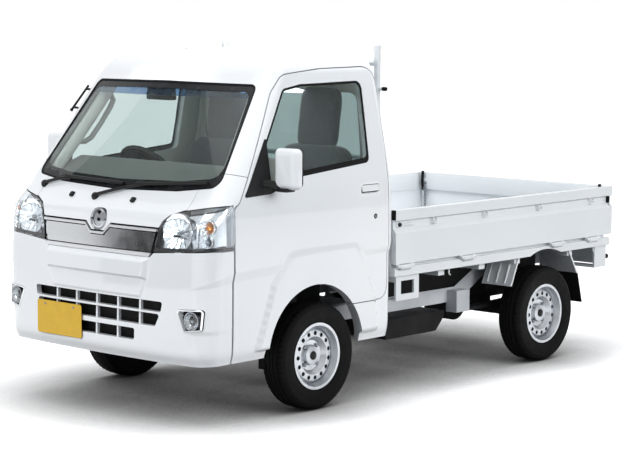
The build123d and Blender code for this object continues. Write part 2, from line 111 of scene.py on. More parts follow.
def floatGlass(name, tint):  # float glass: clear, slightly green, mirror smooth
    material, tree, shader, place = startMaterial(name, {
        "Base Color": hexColour(tint), "Roughness": 0.0, "IOR": 1.45, "Transmission Weight": 1.0})
    ripple = speckle(tree, place, 900, 0.0)
    bumpFrom(tree, shader, ripple.outputs["Fac"], 0.0004, 0.05)
    return material


# injection moulded plastic: fine pebble grain, soft sheen
def mouldedAbs(name, code, worn, roughness, grainSize):
    material, tree, shader, place = startMaterial(name, {"IOR": 1.54, "Specular IOR Level": 0.25})
    grain = speckle(tree, place, grainSize)
    tone = speckle(tree, place, 120, 3.0)
    colourFrom(tree, shader, tone.outputs["Fac"], code, worn)
    roughFrom(tree, shader, tone.outputs["Fac"], roughness - 0.06, roughness + 0.06)
    bumpFrom(tree, shader, grain.outputs["Fac"], 0.0004, 0.25)
    return material


def platedChrome(name, code, roughness):  # plated plastic: bright mirror with a slight haze
    material, tree, shader, place = startMaterial(name, {
        "Base Color": hexColour(code), "Metallic": 1.0})
    haze = speckle(tree, place, 60, 3.0)
    roughFrom(tree, shader, haze.outputs["Fac"], roughness, roughness + 0.05)
    return material


def vulcanisedRubber(name, code, worn, roughness):  # moulded rubber: matte black with dusty grey wear
    material, tree, shader, place = startMaterial(name, {"IOR": 1.52, "Specular IOR Level": 0.12})
    dust = speckle(tree, place, 45, 4.0)
    colourFrom(tree, shader, dust.outputs["Fac"], code, worn)
    roughFrom(tree, shader, dust.outputs["Fac"], roughness - 0.05, roughness + 0.1)
    fine = speckle(tree, place, 3)
    bumpFrom(tree, shader, fine.outputs["Fac"], 0.0004, 0.2)
    return material


def metallicPaint(name, code, dark, roughness):  # silver wheel paint: fine flake under a thin clear coat
    material, tree, shader, place = startMaterial(name, {
        "Metallic": 0.9, "Coat Weight": 0.4, "Coat Roughness": 0.12})
    flake = addNode(tree, "ShaderNodeTexVoronoi", {"Scale": 1000 / 2.5}, {"Vector": place})
    tone = speckle(tree, place, 70, 3.0)
    colourFrom(tree, shader, tone.outputs["Fac"], dark, code)
    roughFrom(tree, shader, flake.outputs["Distance"], roughness, roughness + 0.12)
    return material


# dipped black paint on steel: satin, with road dust in patches
def chassisPaint(name, code, dust, roughness):
    material, tree, shader, place = startMaterial(name, {"IOR": 1.5, "Specular IOR Level": 0.2})
    patch = speckle(tree, place, 140, 5.0)
    colourFrom(tree, shader, patch.outputs["Fac"], code, dust)
    roughFrom(tree, shader, patch.outputs["Fac"], roughness, roughness + 0.25)
    bumpFrom(tree, shader, patch.outputs["Fac"], 0.0006, 0.2)
    return material


def wovenCloth(name, code, light, threadSize):  # woven seat cloth: crossing threads with a soft sheen
    material, tree, shader, place = startMaterial(name, {
        "Roughness": 0.9, "Sheen Weight": 0.35, "Sheen Roughness": 0.5, "IOR": 1.5})
    spread = addNode(tree, "ShaderNodeMapping", {"Scale": [1000 / threadSize] * 3}, {"Vector": place})
    axes = addNode(tree, "ShaderNodeSeparateXYZ", links={"Vector": spread.outputs["Vector"]})
    waves = []
    for axis in ("X", "Y", "Z"):
        turn = addNode(tree, "ShaderNodeMath", {"operation": "SINE"}, {0: axes.outputs[axis]})
        waves.append(turn.outputs["Value"])
    first = addNode(tree, "ShaderNodeMath", {"operation": "MULTIPLY"}, {0: waves[0], 1: waves[1]})
    weave = addNode(tree, "ShaderNodeMath", {"operation": "MULTIPLY_ADD", 2: 0.5},
                    {0: first.outputs["Value"], 1: waves[2]})
    tone = speckle(tree, place, 25, 4.0)
    colourFrom(tree, shader, tone.outputs["Fac"], code, light)
    bumpFrom(tree, shader, weave.outputs["Value"], 0.001, 0.5)
    return material


def paintedPlate(name, code, dark):  # pressed aluminium plate with satin yellow paint
    material, tree, shader, place = startMaterial(name, {"Roughness": 0.42, "IOR": 1.5, "Coat Weight": 0.2})
    tone = speckle(tree, place, 50, 2.0)
    colourFrom(tree, shader, tone.outputs["Fac"], dark, code)
    return material


def lampLens(name, code, roughness):  # moulded polycarbonate lens: clear or coloured all through
    material, tree, shader, place = startMaterial(name, {
        "Base Color": hexColour(code), "Roughness": roughness, "IOR": 1.45, "Transmission Weight": 1.0})
    flutes = speckle(tree, place, 300, 0.0)
    bumpFrom(tree, shader, flutes.outputs["Fac"], 0.0003, 0.05)
    return material


finish = {
    "body": sprayedEnamel("sprayedBodyEnamel", "#e9ecef", "#e4e8ec", 1.0),
    # the bed's white is set darker than the body's white: painted shade, the same white in less light; its
    # thinner coat is its own
    "bed": sprayedEnamel("shadedBedEnamel", "#dde1e4", "#d6dbde", 0.5),
    "glass": floatGlass("greenFloatGlass", "#e0eae8"),
    "tinted": floatGlass("tintedRearGlass", "#98a9a9"),
    "frit": mouldedAbs("firedBlackBand", "#202123", "#26272a", 0.25, 6),
    "tint": floatGlass("blueTopBand", "#6d8fbd"),
    "black": mouldedAbs("mouldedBlackPlastic", "#0c0d0e", "#131415", 0.48, 4),
    # near-black set in openings, gaps and hollows: painted shade, on a moulded plastic finish
    "shadeBlack": mouldedAbs("shadowBlackPlastic", "#030303", "#050505", 0.8, 6),
    "grey": mouldedAbs("mouldedGreyTrim", "#aeb1ae", "#b7bab7", 0.6, 5),
    "dash": mouldedAbs("mouldedDashGrain", "#757876", "#7f8280", 0.62, 5),
    "liner": mouldedAbs("pressedHeadliner", "#d0d1ce", "#d8d9d6", 0.85, 8),
    "satin": platedChrome("satinGrilleMetal", "#cfd2d5", 0.15),
    "chrome": platedChrome("brightPlatedChrome", "#d9dcdf", 0.05),
    "trim": platedChrome("brushedTrimMetal", "#dfe1e4", 0.38),
    "smoked": platedChrome("smokedPlatedChrome", "#8f9296", 0.08),
    "mirror": platedChrome("silveredMirror", "#e6e9eb", 0.01),
    "reflector": platedChrome("vacuumMetalReflector", "#dde1e5", 0.14),
    "seal": vulcanisedRubber("extrudedSealRubber", "#0d0d0e", "#161617", 0.6),
    "tyre": vulcanisedRubber("vulcanisedTyreRubber", "#060606", "#0b0b0c", 0.66),
    "rim": metallicPaint("silverWheelPaint", "#c3c7cb", "#b1b5ba", 0.28),
    "chassis": chassisPaint("dippedChassisPaint", "#070708", "#101011", 0.5),
    "frame": chassisPaint("galvanisedFramePaint", "#bfc4c9", "#ced2d6", 0.4),
    "carpet": wovenCloth("needledFloorMat", "#2a2b2d", "#343537", 6.0),
    "iron": chassisPaint("castIronSkin", "#1f2022", "#2d2d2e", 0.6),
    "steel": platedChrome("zincPlatedSteel", "#8d9196", 0.4),
    "cloth": wovenCloth("wovenSeatCloth", "#46484c", "#55575c", 3.0),
    "plate": paintedPlate("pressedYellowPlate", "#d9af1c", "#d1a616"),
    "lens": lampLens("clearPolycarbonate", "#f4f7f9", 0.02),
    "amber": lampLens("amberPolycarbonate", "#e8862a", 0.08),
    "red": lampLens("redPolycarbonate", "#b01218", 0.1),
}
print("finishes made")

# The cab's skin, as sections stacked from the sill to the roof: lengths in metres
cabSkin = {
    "nose": 1.690, "rear": 0.296, "half": 0.7335, "rearRound": 0.060, "rearWall": 0.53,
    # z, set in from nose, set in from side, bow radius, corner radius, set in from rear,
    # inward share, downward share
    "rows": [
        (0.305, 0.022, 0.018, 8.00, 0.105, 0.000, 1.0, 0.0),
        (0.375, 0.000, 0.004, 8.00, 0.115, 0.000, 1.0, 0.0),
        (0.690, 0.008, 0.000, 8.00, 0.115, 0.000, 1.0, 0.0),
        (0.745, 0.010, 0.000, 8.00, 0.115, 0.000, 1.0, 0.0),
        (0.955, 0.032, 0.001, 8.00, 0.120, 0.000, 1.0, 0.0),
        (1.085, 0.132, 0.005, 7.00, 0.120, 0.004, 1.0, 0.0),
        (1.615, 0.487, 0.094, 2.30, 0.090, 0.032, 1.0, 0.0),
        (1.668, 0.527, 0.108, 2.20, 0.090, 0.036, 1.0, 0.35),
        (1.706, 0.580, 0.134, 2.20, 0.100, 0.040, 0.8, 0.6),
        (1.736, 0.660, 0.174, 2.20, 0.110, 0.050, 0.5, 0.85),
        (1.752, 0.770, 0.234, 2.20, 0.130, 0.072, 0.2, 1.0),
        (1.757, 0.860, 0.304, 2.20, 0.150, 0.112, 0.0, 1.0),
    ],
    "crease": {"front": (0.739, 0.692), "rear": (0.771, 0.741), "xFront": 1.46, "xRear": 0.353,
               "depth": 0.012, "turn": (0.7265, 1.080), "tipZ": 0.662},
    "flare": {"out": 0.7375, "edge": 0.009,
              "outline": [(1.312, 0.345), (1.195, 0.660), (1.080, 0.796), (0.610, 0.806), (0.535, 0.730),
                          (0.445, 0.505), (0.420, 0.345)]},
    "arch": {"x": 0.895, "z": 0.285, "radius": 0.345, "low": 0.05},
    "steps": [  # how far out, width of the sloped edge, outline
        (0.028, 0.020, [(-0.356, 0.690), (0.356, 0.690), (0.366, 0.800), (-0.366, 0.800)]),
        (0.008, 0.009, [(-0.318, 0.606), (0.318, 0.606), (0.356, 0.712), (-0.356, 0.712)])],
    "grip": {"x": (0.425, 0.560), "z": (1.040, 1.094), "deep": 0.016, "edge": 0.018},
    "fold": {"start": (0.594, 0.464), "lean": 0.31, "wide": 0.05, "deep": 0.010, "over": 0.012, "fade": 0.02},
}
skinRows = np.array(cabSkin["rows"])
skinRows[:, 3] = 1 / skinRows[:, 3]  # bows blend as curvature


def rowSlopes(values):  # monotone slopes, so the curve through the rows never overshoots
    steps = np.diff(values, axis=0)
    slopes = np.zeros_like(values)
    product = steps[:-1] * steps[1:]
    safe = np.where(product > 0, steps[:-1] + steps[1:], 1)
    slopes[1:-1] = np.where(product > 0, 2 * product / safe, 0)
    slopes[0], slopes[-1] = steps[0], steps[-1]
    return slopes


skinSlopes = rowSlopes(skinRows)


def rowAt(v):
    index = np.clip(np.floor(v).astype(int), 0, len(skinRows) - 2)
    t = (v - index)[..., None]
    a, b = skinRows[index], skinRows[index + 1]
    da, db = skinSlopes[index], skinSlopes[index + 1]
    return ((2 * t**3 - 3 * t**2 + 1) * a + (t**3 - 2 * t**2 + t) * da
            + (3 * t**2 - 2 * t**3) * b + (t**3 - t**2) * db)


def insideDistance(points, u, w):  # how far (u, w) lies inside a closed outline, negative outside
    nearest = np.full(u.shape, 1e9)
    inside = np.zeros(u.shape, bool)
    for (ax, ay), (bx, by) in zip(points, points[1:] + points[:1]):
        dx, dy = bx - ax, by - ay
        t = np.clip(((u - ax) * dx + (w - ay) * dy) / (dx * dx + dy * dy), 0, 1)
        nearest = np.minimum(nearest, np.hypot(u - ax - t * dx, w - ay - t * dy))
        crosses = ((ay > w) != (by > w)) & (u < dx * (w - ay) / (dy if dy else 1e-12) + ax)
        inside ^= crosses
    return np.where(inside, nearest, -nearest)


def easeStep(value, edge):
    t = np.clip(value / edge, 0, 1)
    return t * t * (3 - 2 * t)


# crease, flares, bumper forms and grip scoop, pushed along the section's normal
def sculptSkin(x, y, z, nx, ny):
    crease, flare, steps, grip, fold = (cabSkin[k] for k in ("crease", "flare", "steps", "grip", "fold"))
    along = np.clip((crease["xFront"] - x) / (crease["xFront"] - crease["xRear"]), 0, 1)
    start, end = crease["turn"]
    ahead = np.clip((x - y - start) / (end - start), 0, 1)  # x less y grows steadily round the corner
    top = crease["front"][0] + (crease["rear"][0] - crease["front"][0]) * along
    low = crease["front"][1] + (crease["rear"][1] - crease["front"][1]) * along
    top, low = top + (crease["tipZ"] - top) * ahead, low + (crease["tipZ"] - low) * ahead
    push = -crease["depth"] * (1 - ahead) * (1 - np.clip((z - low) / np.maximum(top - low, 1e-4), 0, 1))
    beyond = np.clip((y - fold["start"][0] - (fold["start"][1] - z) * fold["lean"]) / fold["wide"], 0, 1)
    under = np.clip((fold["start"][1] + fold["over"] - z) / fold["fade"], 0, 1)
    push = push - fold["deep"] * ahead * beyond * under
    onSide = (ny > 0.9) & (x > 0.33)
    raised = easeStep(insideDistance(flare["outline"], x, z), flare["edge"])
    push = np.where(onSide, push + (flare["out"] - y - push) * raised, push)
    block = np.zeros_like(push)
    for out, edge, outline in steps:
        block = np.maximum(block, out * np.clip(insideDistance(outline, y, z) / edge, 0, 1))
    push = push + np.where(nx > 0.8, block, 0)
    (gx0, gx1), (gz0, gz1) = grip["x"], grip["z"]
    scoop = easeStep(np.minimum(np.minimum(x - gx0, gx1 - x), np.minimum(z - gz0, gz1 - z)), grip["edge"])
    push = np.where(onSide, push - grip["deep"] * scoop, push)
    return x + nx * push, y + ny * push, z


def skinGrid(sList, vList, depth, side, sculpt):
    s, v = np.meshgrid(np.abs(np.array(sList)), np.array(vList))
    flip = np.where(np.meshgrid(np.array(sList), np.array(vList))[0] < 0, -1.0, 1.0) * side
    row = rowAt(v)
    inset = depth * row[..., 6]
    front = cabSkin["nose"] - row[..., 1] - inset
    half = cabSkin["half"] - row[..., 2] - inset
    bow, corner = 1 / row[..., 3] - inset, row[..., 4] - inset
    rear = cabSkin["rear"] + row[..., 5] + inset * cabSkin["rearWall"]
    back = np.maximum(cabSkin["rearRound"] - inset, 0.015)
    reach, cy = bow - corner, half - corner
    cx = front - bow + np.sqrt(reach**2 - cy**2)
    turn = np.arctan2(cy, cx - front + bow)
    angle = np.select([s <= 1, s <= 2, s <= 3, s <= 4],
                      [turn * s, turn + (pi / 2 - turn) * (s - 1), pi / 2 + 0 * s, pi / 2 * (s - 2)], pi)
    x = np.select([s <= 1, s <= 2, s <= 3, s <= 4],
                  [front - bow + bow * np.cos(angle), cx + corner * np.cos(angle),
                   cx + (rear + back - cx) * (s - 2), rear + back + back * np.cos(angle)], rear)
    y = np.select([s <= 1, s <= 2, s <= 3, s <= 4],
                  [bow * np.sin(angle), cy + corner * np.sin(angle), half,
                   half - back + back * np.sin(angle)],
                  (half - back) * (5 - s))
    z = row[..., 0] - depth * row[..., 7]
    if sculpt:
        x, y, z = sculptSkin(x, y, z, np.cos(angle), np.sin(angle))
    return np.stack([x, y * flip, z], axis=-1)


def spanList(*spans):  # (start, end, steps) pieces joined into one list of positions
    values = []
    for start, end, steps in spans:
        values += [start + (end - start) * i / steps for i in range(steps)]
    return values + [spans[-1][1]]


def newObject(name, verts, faces, materials):
    mesh = bpy.data.meshes.new(name)
    mesh.from_pydata([tuple(v) for v in verts], [], faces)
    mesh.update()
    for material in materials:
        mesh.materials.append(material)
    obj = bpy.data.objects.new(name, mesh)
    bpy.context.scene.collection.objects.link(obj)
    return obj


def faceOutward(obj):
    work = bmesh.new()
    work.from_mesh(obj.data)
    bmesh.ops.recalc_face_normals(work, faces=work.faces)
    work.to_mesh(obj.data)
    work.free()


def gridFaces(rows, columns, start=0, closed=False):
    faces = []
    for r in range(rows - 1):
        for c in range(columns if closed else columns - 1):
            n = (c + 1) % columns
            faces.append((start + r * columns + c, start + r * columns + n,
                          start + (r + 1) * columns + n, start + (r + 1) * columns + c))
    return faces


def skinSlab(name, sList, vList, depth, side, materials, closed=False, lift=0.0, sculpt=True):
    # a closed slab of the skin, and its outer face alone
    outer = skinGrid(sList, vList, -lift, side, sculpt)
    inner = skinGrid(sList, vList, depth, side, False)
    rows, columns = outer.shape[:2]
    count = rows * columns
    faces = gridFaces(rows, columns, 0, closed)
    faces += [f[::-1] for f in gridFaces(rows, columns, count, closed)]
    rim = []
    around = range(columns if closed else columns - 1)
    for c in around:
        n = (c + 1) % columns
        rim.append((n, c, count + c, count + n))
        if not closed:
            top = (rows - 1) * columns
            rim.append((top + c, top + n, count + top + n, count + top + c))
    if closed:  # roof panels close the top rings
        top = (rows - 1) * columns
        faces.append(tuple(top + c for c in range(columns)))
        faces.append(tuple(count + top + c for c in reversed(range(columns))))
    else:
        for r in range(rows - 1):
            a, b = r * columns, (r + 1) * columns
            rim.append((a, b, count + b, count + a))
            a, b = a + columns - 1, b + columns - 1
            rim.append((b, a, count + a, count + b))
    obj = newObject(name, np.concatenate([outer.reshape(-1, 3), inner.reshape(-1, 3)]), faces + rim,
                    materials)
    faceOutward(obj)
    faces = [f[::side] for f in gridFaces(rows, columns, 0, closed)]  # turned over on the right side
    skinOnly = newObject(name + "Skin", outer.reshape(-1, 3), faces, [])
    return obj, skinOnly


def roundOutline(points, radii, steps=6):  # an outline with some of its corners rounded
    result = []
    for i, point in enumerate(points):
        here = Vector(point)
        radius = radii.get(i, 0)
        if not radius:
            result.append(tuple(here))
            continue
        before, after = Vector(points[i - 1]) - here, Vector(points[(i + 1) % len(points)]) - here
        half = before.angle(after) / 2
        reach = radius / np.tan(half)
        start, end = here + before.normalized() * reach, here + after.normalized() * reach
        middle = here + (before.normalized() + after.normalized()).normalized() * radius / sin(half)
        first = atan2(start.y - middle.y, start.x - middle.x)
        sweep = (atan2(end.y - middle.y, end.x - middle.x) - first + pi) % (2 * pi) - pi
        result += [(middle.x + radius * cos(first + sweep * k / steps),
                    middle.y + radius * sin(first + sweep * k / steps)) for k in range(steps + 1)]
    return result


def roundAll(points, radius):
    return roundOutline(points, {i: radius for i in range(len(points))})


def growOutline(points, amount):  # moves each edge of a closed outline outward by the same distance
    area = sum(a[0] * b[1] - b[0] * a[1] for a, b in zip(points, points[1:] + points[:1]))
    sign = 1 if area > 0 else -1
    grown = []
    for i, point in enumerate(points):
        before, here, after = Vector(points[i - 1]), Vector(point), Vector(points[(i + 1) % len(points)])
        first, second = (here - before).normalized(), (after - here).normalized()
        normal = Vector((first.y, -first.x)) + Vector((second.y, -second.x))
        scale = amount * sign / max(0.3, 1 + first.dot(second)) if normal.length else 0
        grown.append(tuple(here + normal * scale))
    return grown


def prism(points, axis, low, high):  # a closed outline drawn along the named axis
    place = {"x": lambda p, d: (d, p[0], p[1]), "y": lambda p, d: (p[0], d, p[1]),
             "z": lambda p, d: (p[0], p[1], d)}
    count = len(points)
    verts = [place[axis](p, low) for p in points] + [place[axis](p, high) for p in points]
    faces = [tuple(range(count)), tuple(range(2 * count - 1, count - 1, -1))]
    faces += [(i, i + count, (i + 1) % count + count, (i + 1) % count) for i in range(count)]
    return verts, faces


def cutter(*solids):  # several prisms joined into one cutting mesh
    verts, faces = [], []
    for someVerts, someFaces in solids:
        faces += [tuple(i + len(verts) for i in face) for face in someFaces]
        verts += someVerts
    obj = newObject("cutter", verts, faces, [])
    faceOutward(obj)
    return obj


def carve(obj, tool, operation="DIFFERENCE"):
    modifier = obj.modifiers.new("carve", "BOOLEAN")
    modifier.operation = operation
    modifier.solver = "EXACT"
    modifier.object = tool
    bpy.context.view_layer.update()
    graph = bpy.context.evaluated_depsgraph_get()
    mesh = bpy.data.meshes.new_from_object(obj.evaluated_get(graph))
    obj.modifiers.clear()
    obj.data = mesh
    bpy.data.objects.remove(tool)


# shades the outer face from the uncut skin, so cuts leave no dents
def smoothSkin(obj, skinOnly, innerIndex=None):
    source = skinOnly.data
    tree = BVHTree.FromPolygons([v.co for v in source.vertices], [tuple(p.vertices) for p in source.polygons])
    normals = [v.normal.copy() for v in source.vertices]
    mesh = obj.data
    loopNormals = [Vector((0, 0, 0))] * len(mesh.loops)
    for polygon in mesh.polygons:
        place, faceNormal, index, distance = tree.find_nearest(polygon.center)
        facing = polygon.normal.dot(faceNormal)
        onSkin = facing > 0.6 and distance < 0.004
        if innerIndex is not None and facing < -0.5:
            polygon.material_index = innerIndex
        polygon.use_smooth = True
        for loop in polygon.loop_indices:
            if not onSkin:
                loopNormals[loop] = polygon.normal
                continue
            point = mesh.vertices[mesh.loops[loop].vertex_index].co
            nearest, faceNormal, face, gap = tree.find_nearest(point)
            total = Vector((0, 0, 0))
            for corner in source.polygons[face].vertices:
                total += normals[corner] / (1e-6 + (source.vertices[corner].co - nearest).length_squared)
            loopNormals[loop] = total.normalized() if total.length else polygon.normal
    mesh.normals_split_custom_set([tuple(n) for n in loopNormals])
    bpy.data.objects.remove(skinOnly)


def dress(obj, body, replaced=()):
    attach(obj, body)
    if replaced:
        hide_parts(*replaced)
    return obj


def smoothByAngle(obj, degrees=35):
    for polygon in obj.data.polygons:
        polygon.use_smooth = True
    obj.data.set_sharp_from_angle(angle=radians(degrees))
    return obj


archShape = cabSkin["arch"]
archX, archZ, archRadius, archLow = (archShape[k] for k in ("x", "z", "radius", "low"))
archOutline = [(archX + archRadius * cos(pi * k / 40),
                archZ + archRadius * sin(pi * k / 40)) for k in range(41)]
archOutline += [(archX - archRadius, archLow), (archX + archRadius, archLow)]

doorShape = {
    "outline": [(1.460, 0.270), (1.460, 1.035), (1.428, 1.062), (1.122, 1.567), (1.040, 1.650),
                (0.760, 1.673), (0.355, 1.678), (0.355, 0.508), (0.640, 0.508), (0.640, 0.270)],
    "rounds": {3: 0.12, 4: 0.09, 6: 0.095, 7: 0.06},
    "window": [(1.378, 1.090), (1.052, 1.584), (0.922, 1.604), (0.472, 1.611), (0.484, 1.205), (0.986, 1.163),
               (1.205, 1.096)],
    "windowRounds": {0: 0.012, 1: 0.045, 3: 0.04, 4: 0.03, 5: 0.06, 6: 0.06},
    "gap": 0.005, "thick": 0.040, "inner": 0.565,
    # corner swings here
    "relief": [(1.470, 1.025), (1.470, 1.040), (1.447, 1.059), (1.444, 1.055), (1.455, 1.030)],
}
screenShape = {
    "outline": [(-0.652, 1.134), (-0.408, 1.106), (0.0, 1.094), (0.408, 1.106), (0.652, 1.134),
                (0.566, 1.606), (0.0, 1.613), (-0.566, 1.606)],
    "rounds": {0: 0.045, 4: 0.045, 5: 0.04, 7: 0.04},
}
doorOutline = roundOutline(doorShape["outline"], doorShape["rounds"])
windowOutline = roundOutline(doorShape["window"], doorShape["windowRounds"])
screenOutline = roundOutline(screenShape["outline"], screenShape["rounds"])
sideSteps = spanList((1.0, 2.0, 16), (2.0, 3.0, 84), (3.0, 4.0, 6))
sideHeights = spanList((0, 1, 9), (1, 2, 40), (2, 3, 12), (3, 4, 20), (4, 5, 14), (5, 6, 22), (6, 8, 10))


sideSigns = {"left": 1, "right": -1}


def makeDoor(name, side):
    door, skinOnly = skinSlab("doorPanel_" + name, sideSteps, sideHeights, doorShape["thick"], side,
                              [finish["body"], finish["grey"]])
    low, high = sorted((side * doorShape["inner"], side * 1.0))
    carve(door, cutter(prism(doorOutline, "y", low, high)), "INTERSECT")
    carve(door, cutter(prism(windowOutline, "y", low, high)))
    carve(door, cutter(prism(archOutline, "y", low, high)))
    smoothSkin(door, skinOnly, 1)
    return dress(door, "door_" + name, ["door_" + name])


for doorName, doorSide in sideSigns.items():
    makeDoor(doorName, doorSide)
print("doors made")

lampShape = {
    "outline": [(0.390, 0.824), (0.399, 0.886), (0.411, 0.937), (0.432, 0.975), (0.461, 1.003),
                (0.525, 1.026),
                (0.658, 1.049), (0.760, 1.062), (0.760, 0.843), (0.708, 0.847), (0.559, 0.838)],
    "clear": [(0.403, 0.847), (0.409, 0.888), (0.420, 0.934), (0.440, 0.970), (0.467, 0.997), (0.528, 1.020),
              (0.659, 1.043), (0.770, 1.056), (0.770, 0.860), (0.708, 0.864), (0.559, 0.856)],
}
grilleShape = {
    "outline": [(-0.368, 0.803), (0.368, 0.803), (0.392, 0.824), (0.430, 0.938), (0.090, 0.938),
                (0.048, 0.898), (-0.048, 0.898), (-0.090, 0.938), (-0.430, 0.938), (-0.392, 0.824)],
}
bumperShape = {
    "openings": [(0.548, 0.597, 0.448, 0.458), (0.478, 0.538, 0.412, 0.443), (0.399, 0.455, 0.276, 0.276)],
    "bars": (-0.300, -0.150, 0.0, 0.150, 0.300), "barHalf": 0.0055,
    "fog": [(0.546, 0.572), (0.697, 0.581), (0.690, 0.478), (0.594, 0.464)], "fogRound": 0.015,
    "slotRound": 0.012, "thick": 0.030, "half": 0.80, "low": 0.2, "gap": 0.002,
    "splitX": 1.4715, "top": 0.850,
}
cabShape = {
    "thick": 0.045, "frontX": 1.465, "rearSplit": 0.590, "rearLow": 0.640,
    "rearWindow": [(-0.520, 1.170), (0.520, 1.170), (0.500, 1.540), (-0.500, 1.540)], "rearRound": 0.050,
    "hoodHalf": 0.541, "hoodLow": 0.898, "hoodTop": 1.300, "hoodGap": 0.0025, "low": 0.2,
    # upper edge over the lamps
    "lampTop": [(0.80, 1.067), (0.760, 1.062), (0.658, 1.049)], "lampIn": 1.0288,
}


def mirrorOutline(points):
    return [(-u, w) for u, w in reversed(points)]


lampPair = [lampShape["outline"], mirrorOutline(lampShape["outline"])]
fogOutline = roundAll(bumperShape["fog"], bumperShape["fogRound"])
fogPair = [fogOutline, mirrorOutline(fogOutline)]
noseCut = (1.4, 1.85)  # cutting prisms start behind the nose panels and end ahead of them
rearOutline = roundAll(cabShape["rearWindow"], cabShape["rearRound"])


def boxOutline(u0, u1, w0, w1):
    return [(u0, w0), (u1, w0), (u1, w1), (u0, w1)]


def makeCab():
    ring = spanList((-5, -4, 6), (-4, -3, 6), (-3, -2.65, 30), (-2.65, -2, 16), (-2, -1, 12), (-1, 0, 14),
                    (0, 1, 14), (1, 2, 12), (2, 2.65, 16), (2.65, 3, 30), (3, 4, 6), (4, 5, 6))[1:]
    heights = spanList((0, 1, 6), (1, 2, 34), (2, 3, 10), (3, 5, 14), (5, 6, 24), (6, 11, 30))
    cab, skinOnly = skinSlab("cabShell", ring, heights, cabShape["thick"], 1,
                             [finish["body"], finish["liner"]], True)
    hole = growOutline(doorOutline, doorShape["gap"])
    inner = doorShape["inner"] - doorShape["gap"]
    for shape in (hole, doorShape["relief"]):
        carve(cab, cutter(prism(shape, "y", inner, 1.0), prism(shape, "y", -1.0, -inner)))
    half, out = cabShape["hoodHalf"], cabShape["lampTop"][0][0]
    lampTop = cabShape["lampTop"] + [(half, cabShape["lampIn"])]
    front = [(-out, cabShape["low"]), (out, cabShape["low"])] + lampTop + [(half, cabShape["hoodTop"])]
    front += [(-half, cabShape["hoodTop"])] + mirrorOutline(lampTop)
    carve(cab, cutter(prism(front, "x", cabShape["frontX"], 1.9)))
    carve(cab, cutter(prism(screenOutline, "x", 1.0, 1.8), prism(rearOutline, "x", 0.2, 0.45)))
    carve(cab, cutter(prism(archOutline, "y", -0.9, 0.9)))
    split = cabShape["rearSplit"]
    carve(cab, cutter(prism(boxOutline(-split, split, cabShape["low"], cabShape["rearLow"]), "x", 0.2, 0.45)))
    smoothSkin(cab, skinOnly, 1)
    return dress(cab, "chassis", ["cab_frame", "roof_panel", "rear_wall"])


frontSteps = spanList((-2.35, -2, 8), (-2, -1, 30), (-1, 1, 180), (1, 2, 30), (2, 2.35, 8))


def makeHood():
    hood, skinOnly = skinSlab("hoodPanel", frontSteps, spanList((3.5, 6, 44)), cabShape["thick"], 1,
                              [finish["body"], finish["black"]])
    half = cabShape["hoodHalf"] - cabShape["hoodGap"]
    area = boxOutline(-half, half, cabShape["hoodLow"], cabShape["hoodTop"])
    carve(hood, cutter(prism(area, "x", bumperShape["splitX"], 1.8)), "INTERSECT")
    carve(hood, cutter(*[prism(growOutline(p, bumperShape["gap"]), "x", *noseCut) for p in lampPair]))
    carve(hood, cutter(prism(growOutline(grilleShape["outline"], 0.006), "x", *noseCut)))
    carve(hood, cutter(prism(screenOutline, "x", 1.0, 1.85)))
    smoothSkin(hood, skinOnly, 1)
    return dress(hood, "chassis", ["front_panel"])


def makeBumper():
    heights = spanList((0, 1, 8), (1, 2, 70), (2, 3, 18), (3, 4.2, 40))
    bumper, skinOnly = skinSlab("bumperPanel", frontSteps, heights, bumperShape["thick"], 1,
                                [finish["body"], finish["black"]])
    area = boxOutline(-bumperShape["half"], bumperShape["half"], bumperShape["low"], bumperShape["top"])
    carve(bumper, cutter(prism(area, "x", bumperShape["splitX"], 1.8)), "INTERSECT")
    tools = []
    for low, high, lowHalf, highHalf in bumperShape["openings"]:
        slot = [(-lowHalf, low), (lowHalf, low), (highHalf, high), (-highHalf, high)]
        tools.append(prism(roundAll(slot, bumperShape["slotRound"]), "x", *noseCut))
    tools += [prism(points, "x", *noseCut) for points in fogPair]
    carve(bumper, cutter(*tools))
    carve(bumper, cutter(*[prism(growOutline(p, bumperShape["gap"]), "x", *noseCut) for p in lampPair]))
    carve(bumper, cutter(prism(growOutline(grilleShape["outline"], bumperShape["gap"]), "x", *noseCut)))
    smoothSkin(bumper, skinOnly, 1)
    return dress(bumper, "chassis", ["front_bumper"])


makeCab()
print("cab made")
makeHood()
makeBumper()
print("front made")

vTable = np.linspace(0, len(skinRows) - 1, 2201)
zTable = rowAt(vTable)[:, 0]


def sectionAt(z):  # the cab's section at a height: front, half width, corner centre, bow and corner radii
    row = rowAt(np.array([np.interp(z, zTable, vTable)]))[0]
    front, half = cabSkin["nose"] - row[1], cabSkin["half"] - row[2]
    bow, corner = 1 / row[3], row[4]
    cy = half - corner
    cx = front - bow + sqrt((bow - corner)**2 - cy**2)
    return front, half, cx, cy, bow, corner


def frontPoint(y, z):
    front, half, cx, cy, bow, corner = sectionAt(z)
    if abs(y) <= bow * cy / (bow - corner):
        return Vector((front - bow + sqrt(bow**2 - y**2), y, z))
    return Vector((cx + sqrt(max(corner**2 - (abs(y) - cy)**2, 0)), y, z))


def sidePoint(x, z, side):
    front, half, cx, cy, bow, corner = sectionAt(z)
    y = half if x <= cx else cy + sqrt(max(corner**2 - (x - cx)**2, 0))
    return Vector((x, side * y, z))


def frontNormal(y, z, reach=0.004):
    across = frontPoint(y + reach, z) - frontPoint(y - reach, z)
    return across.cross(frontPoint(y, z + reach) - frontPoint(y, z - reach)).normalized()


def sideNormal(x, z, side, reach=0.004):
    along = sidePoint(x - reach, z, side) - sidePoint(x + reach, z, side)
    return along.cross(sidePoint(x, z + reach, side) - sidePoint(x, z - reach, side)).normalized() * side


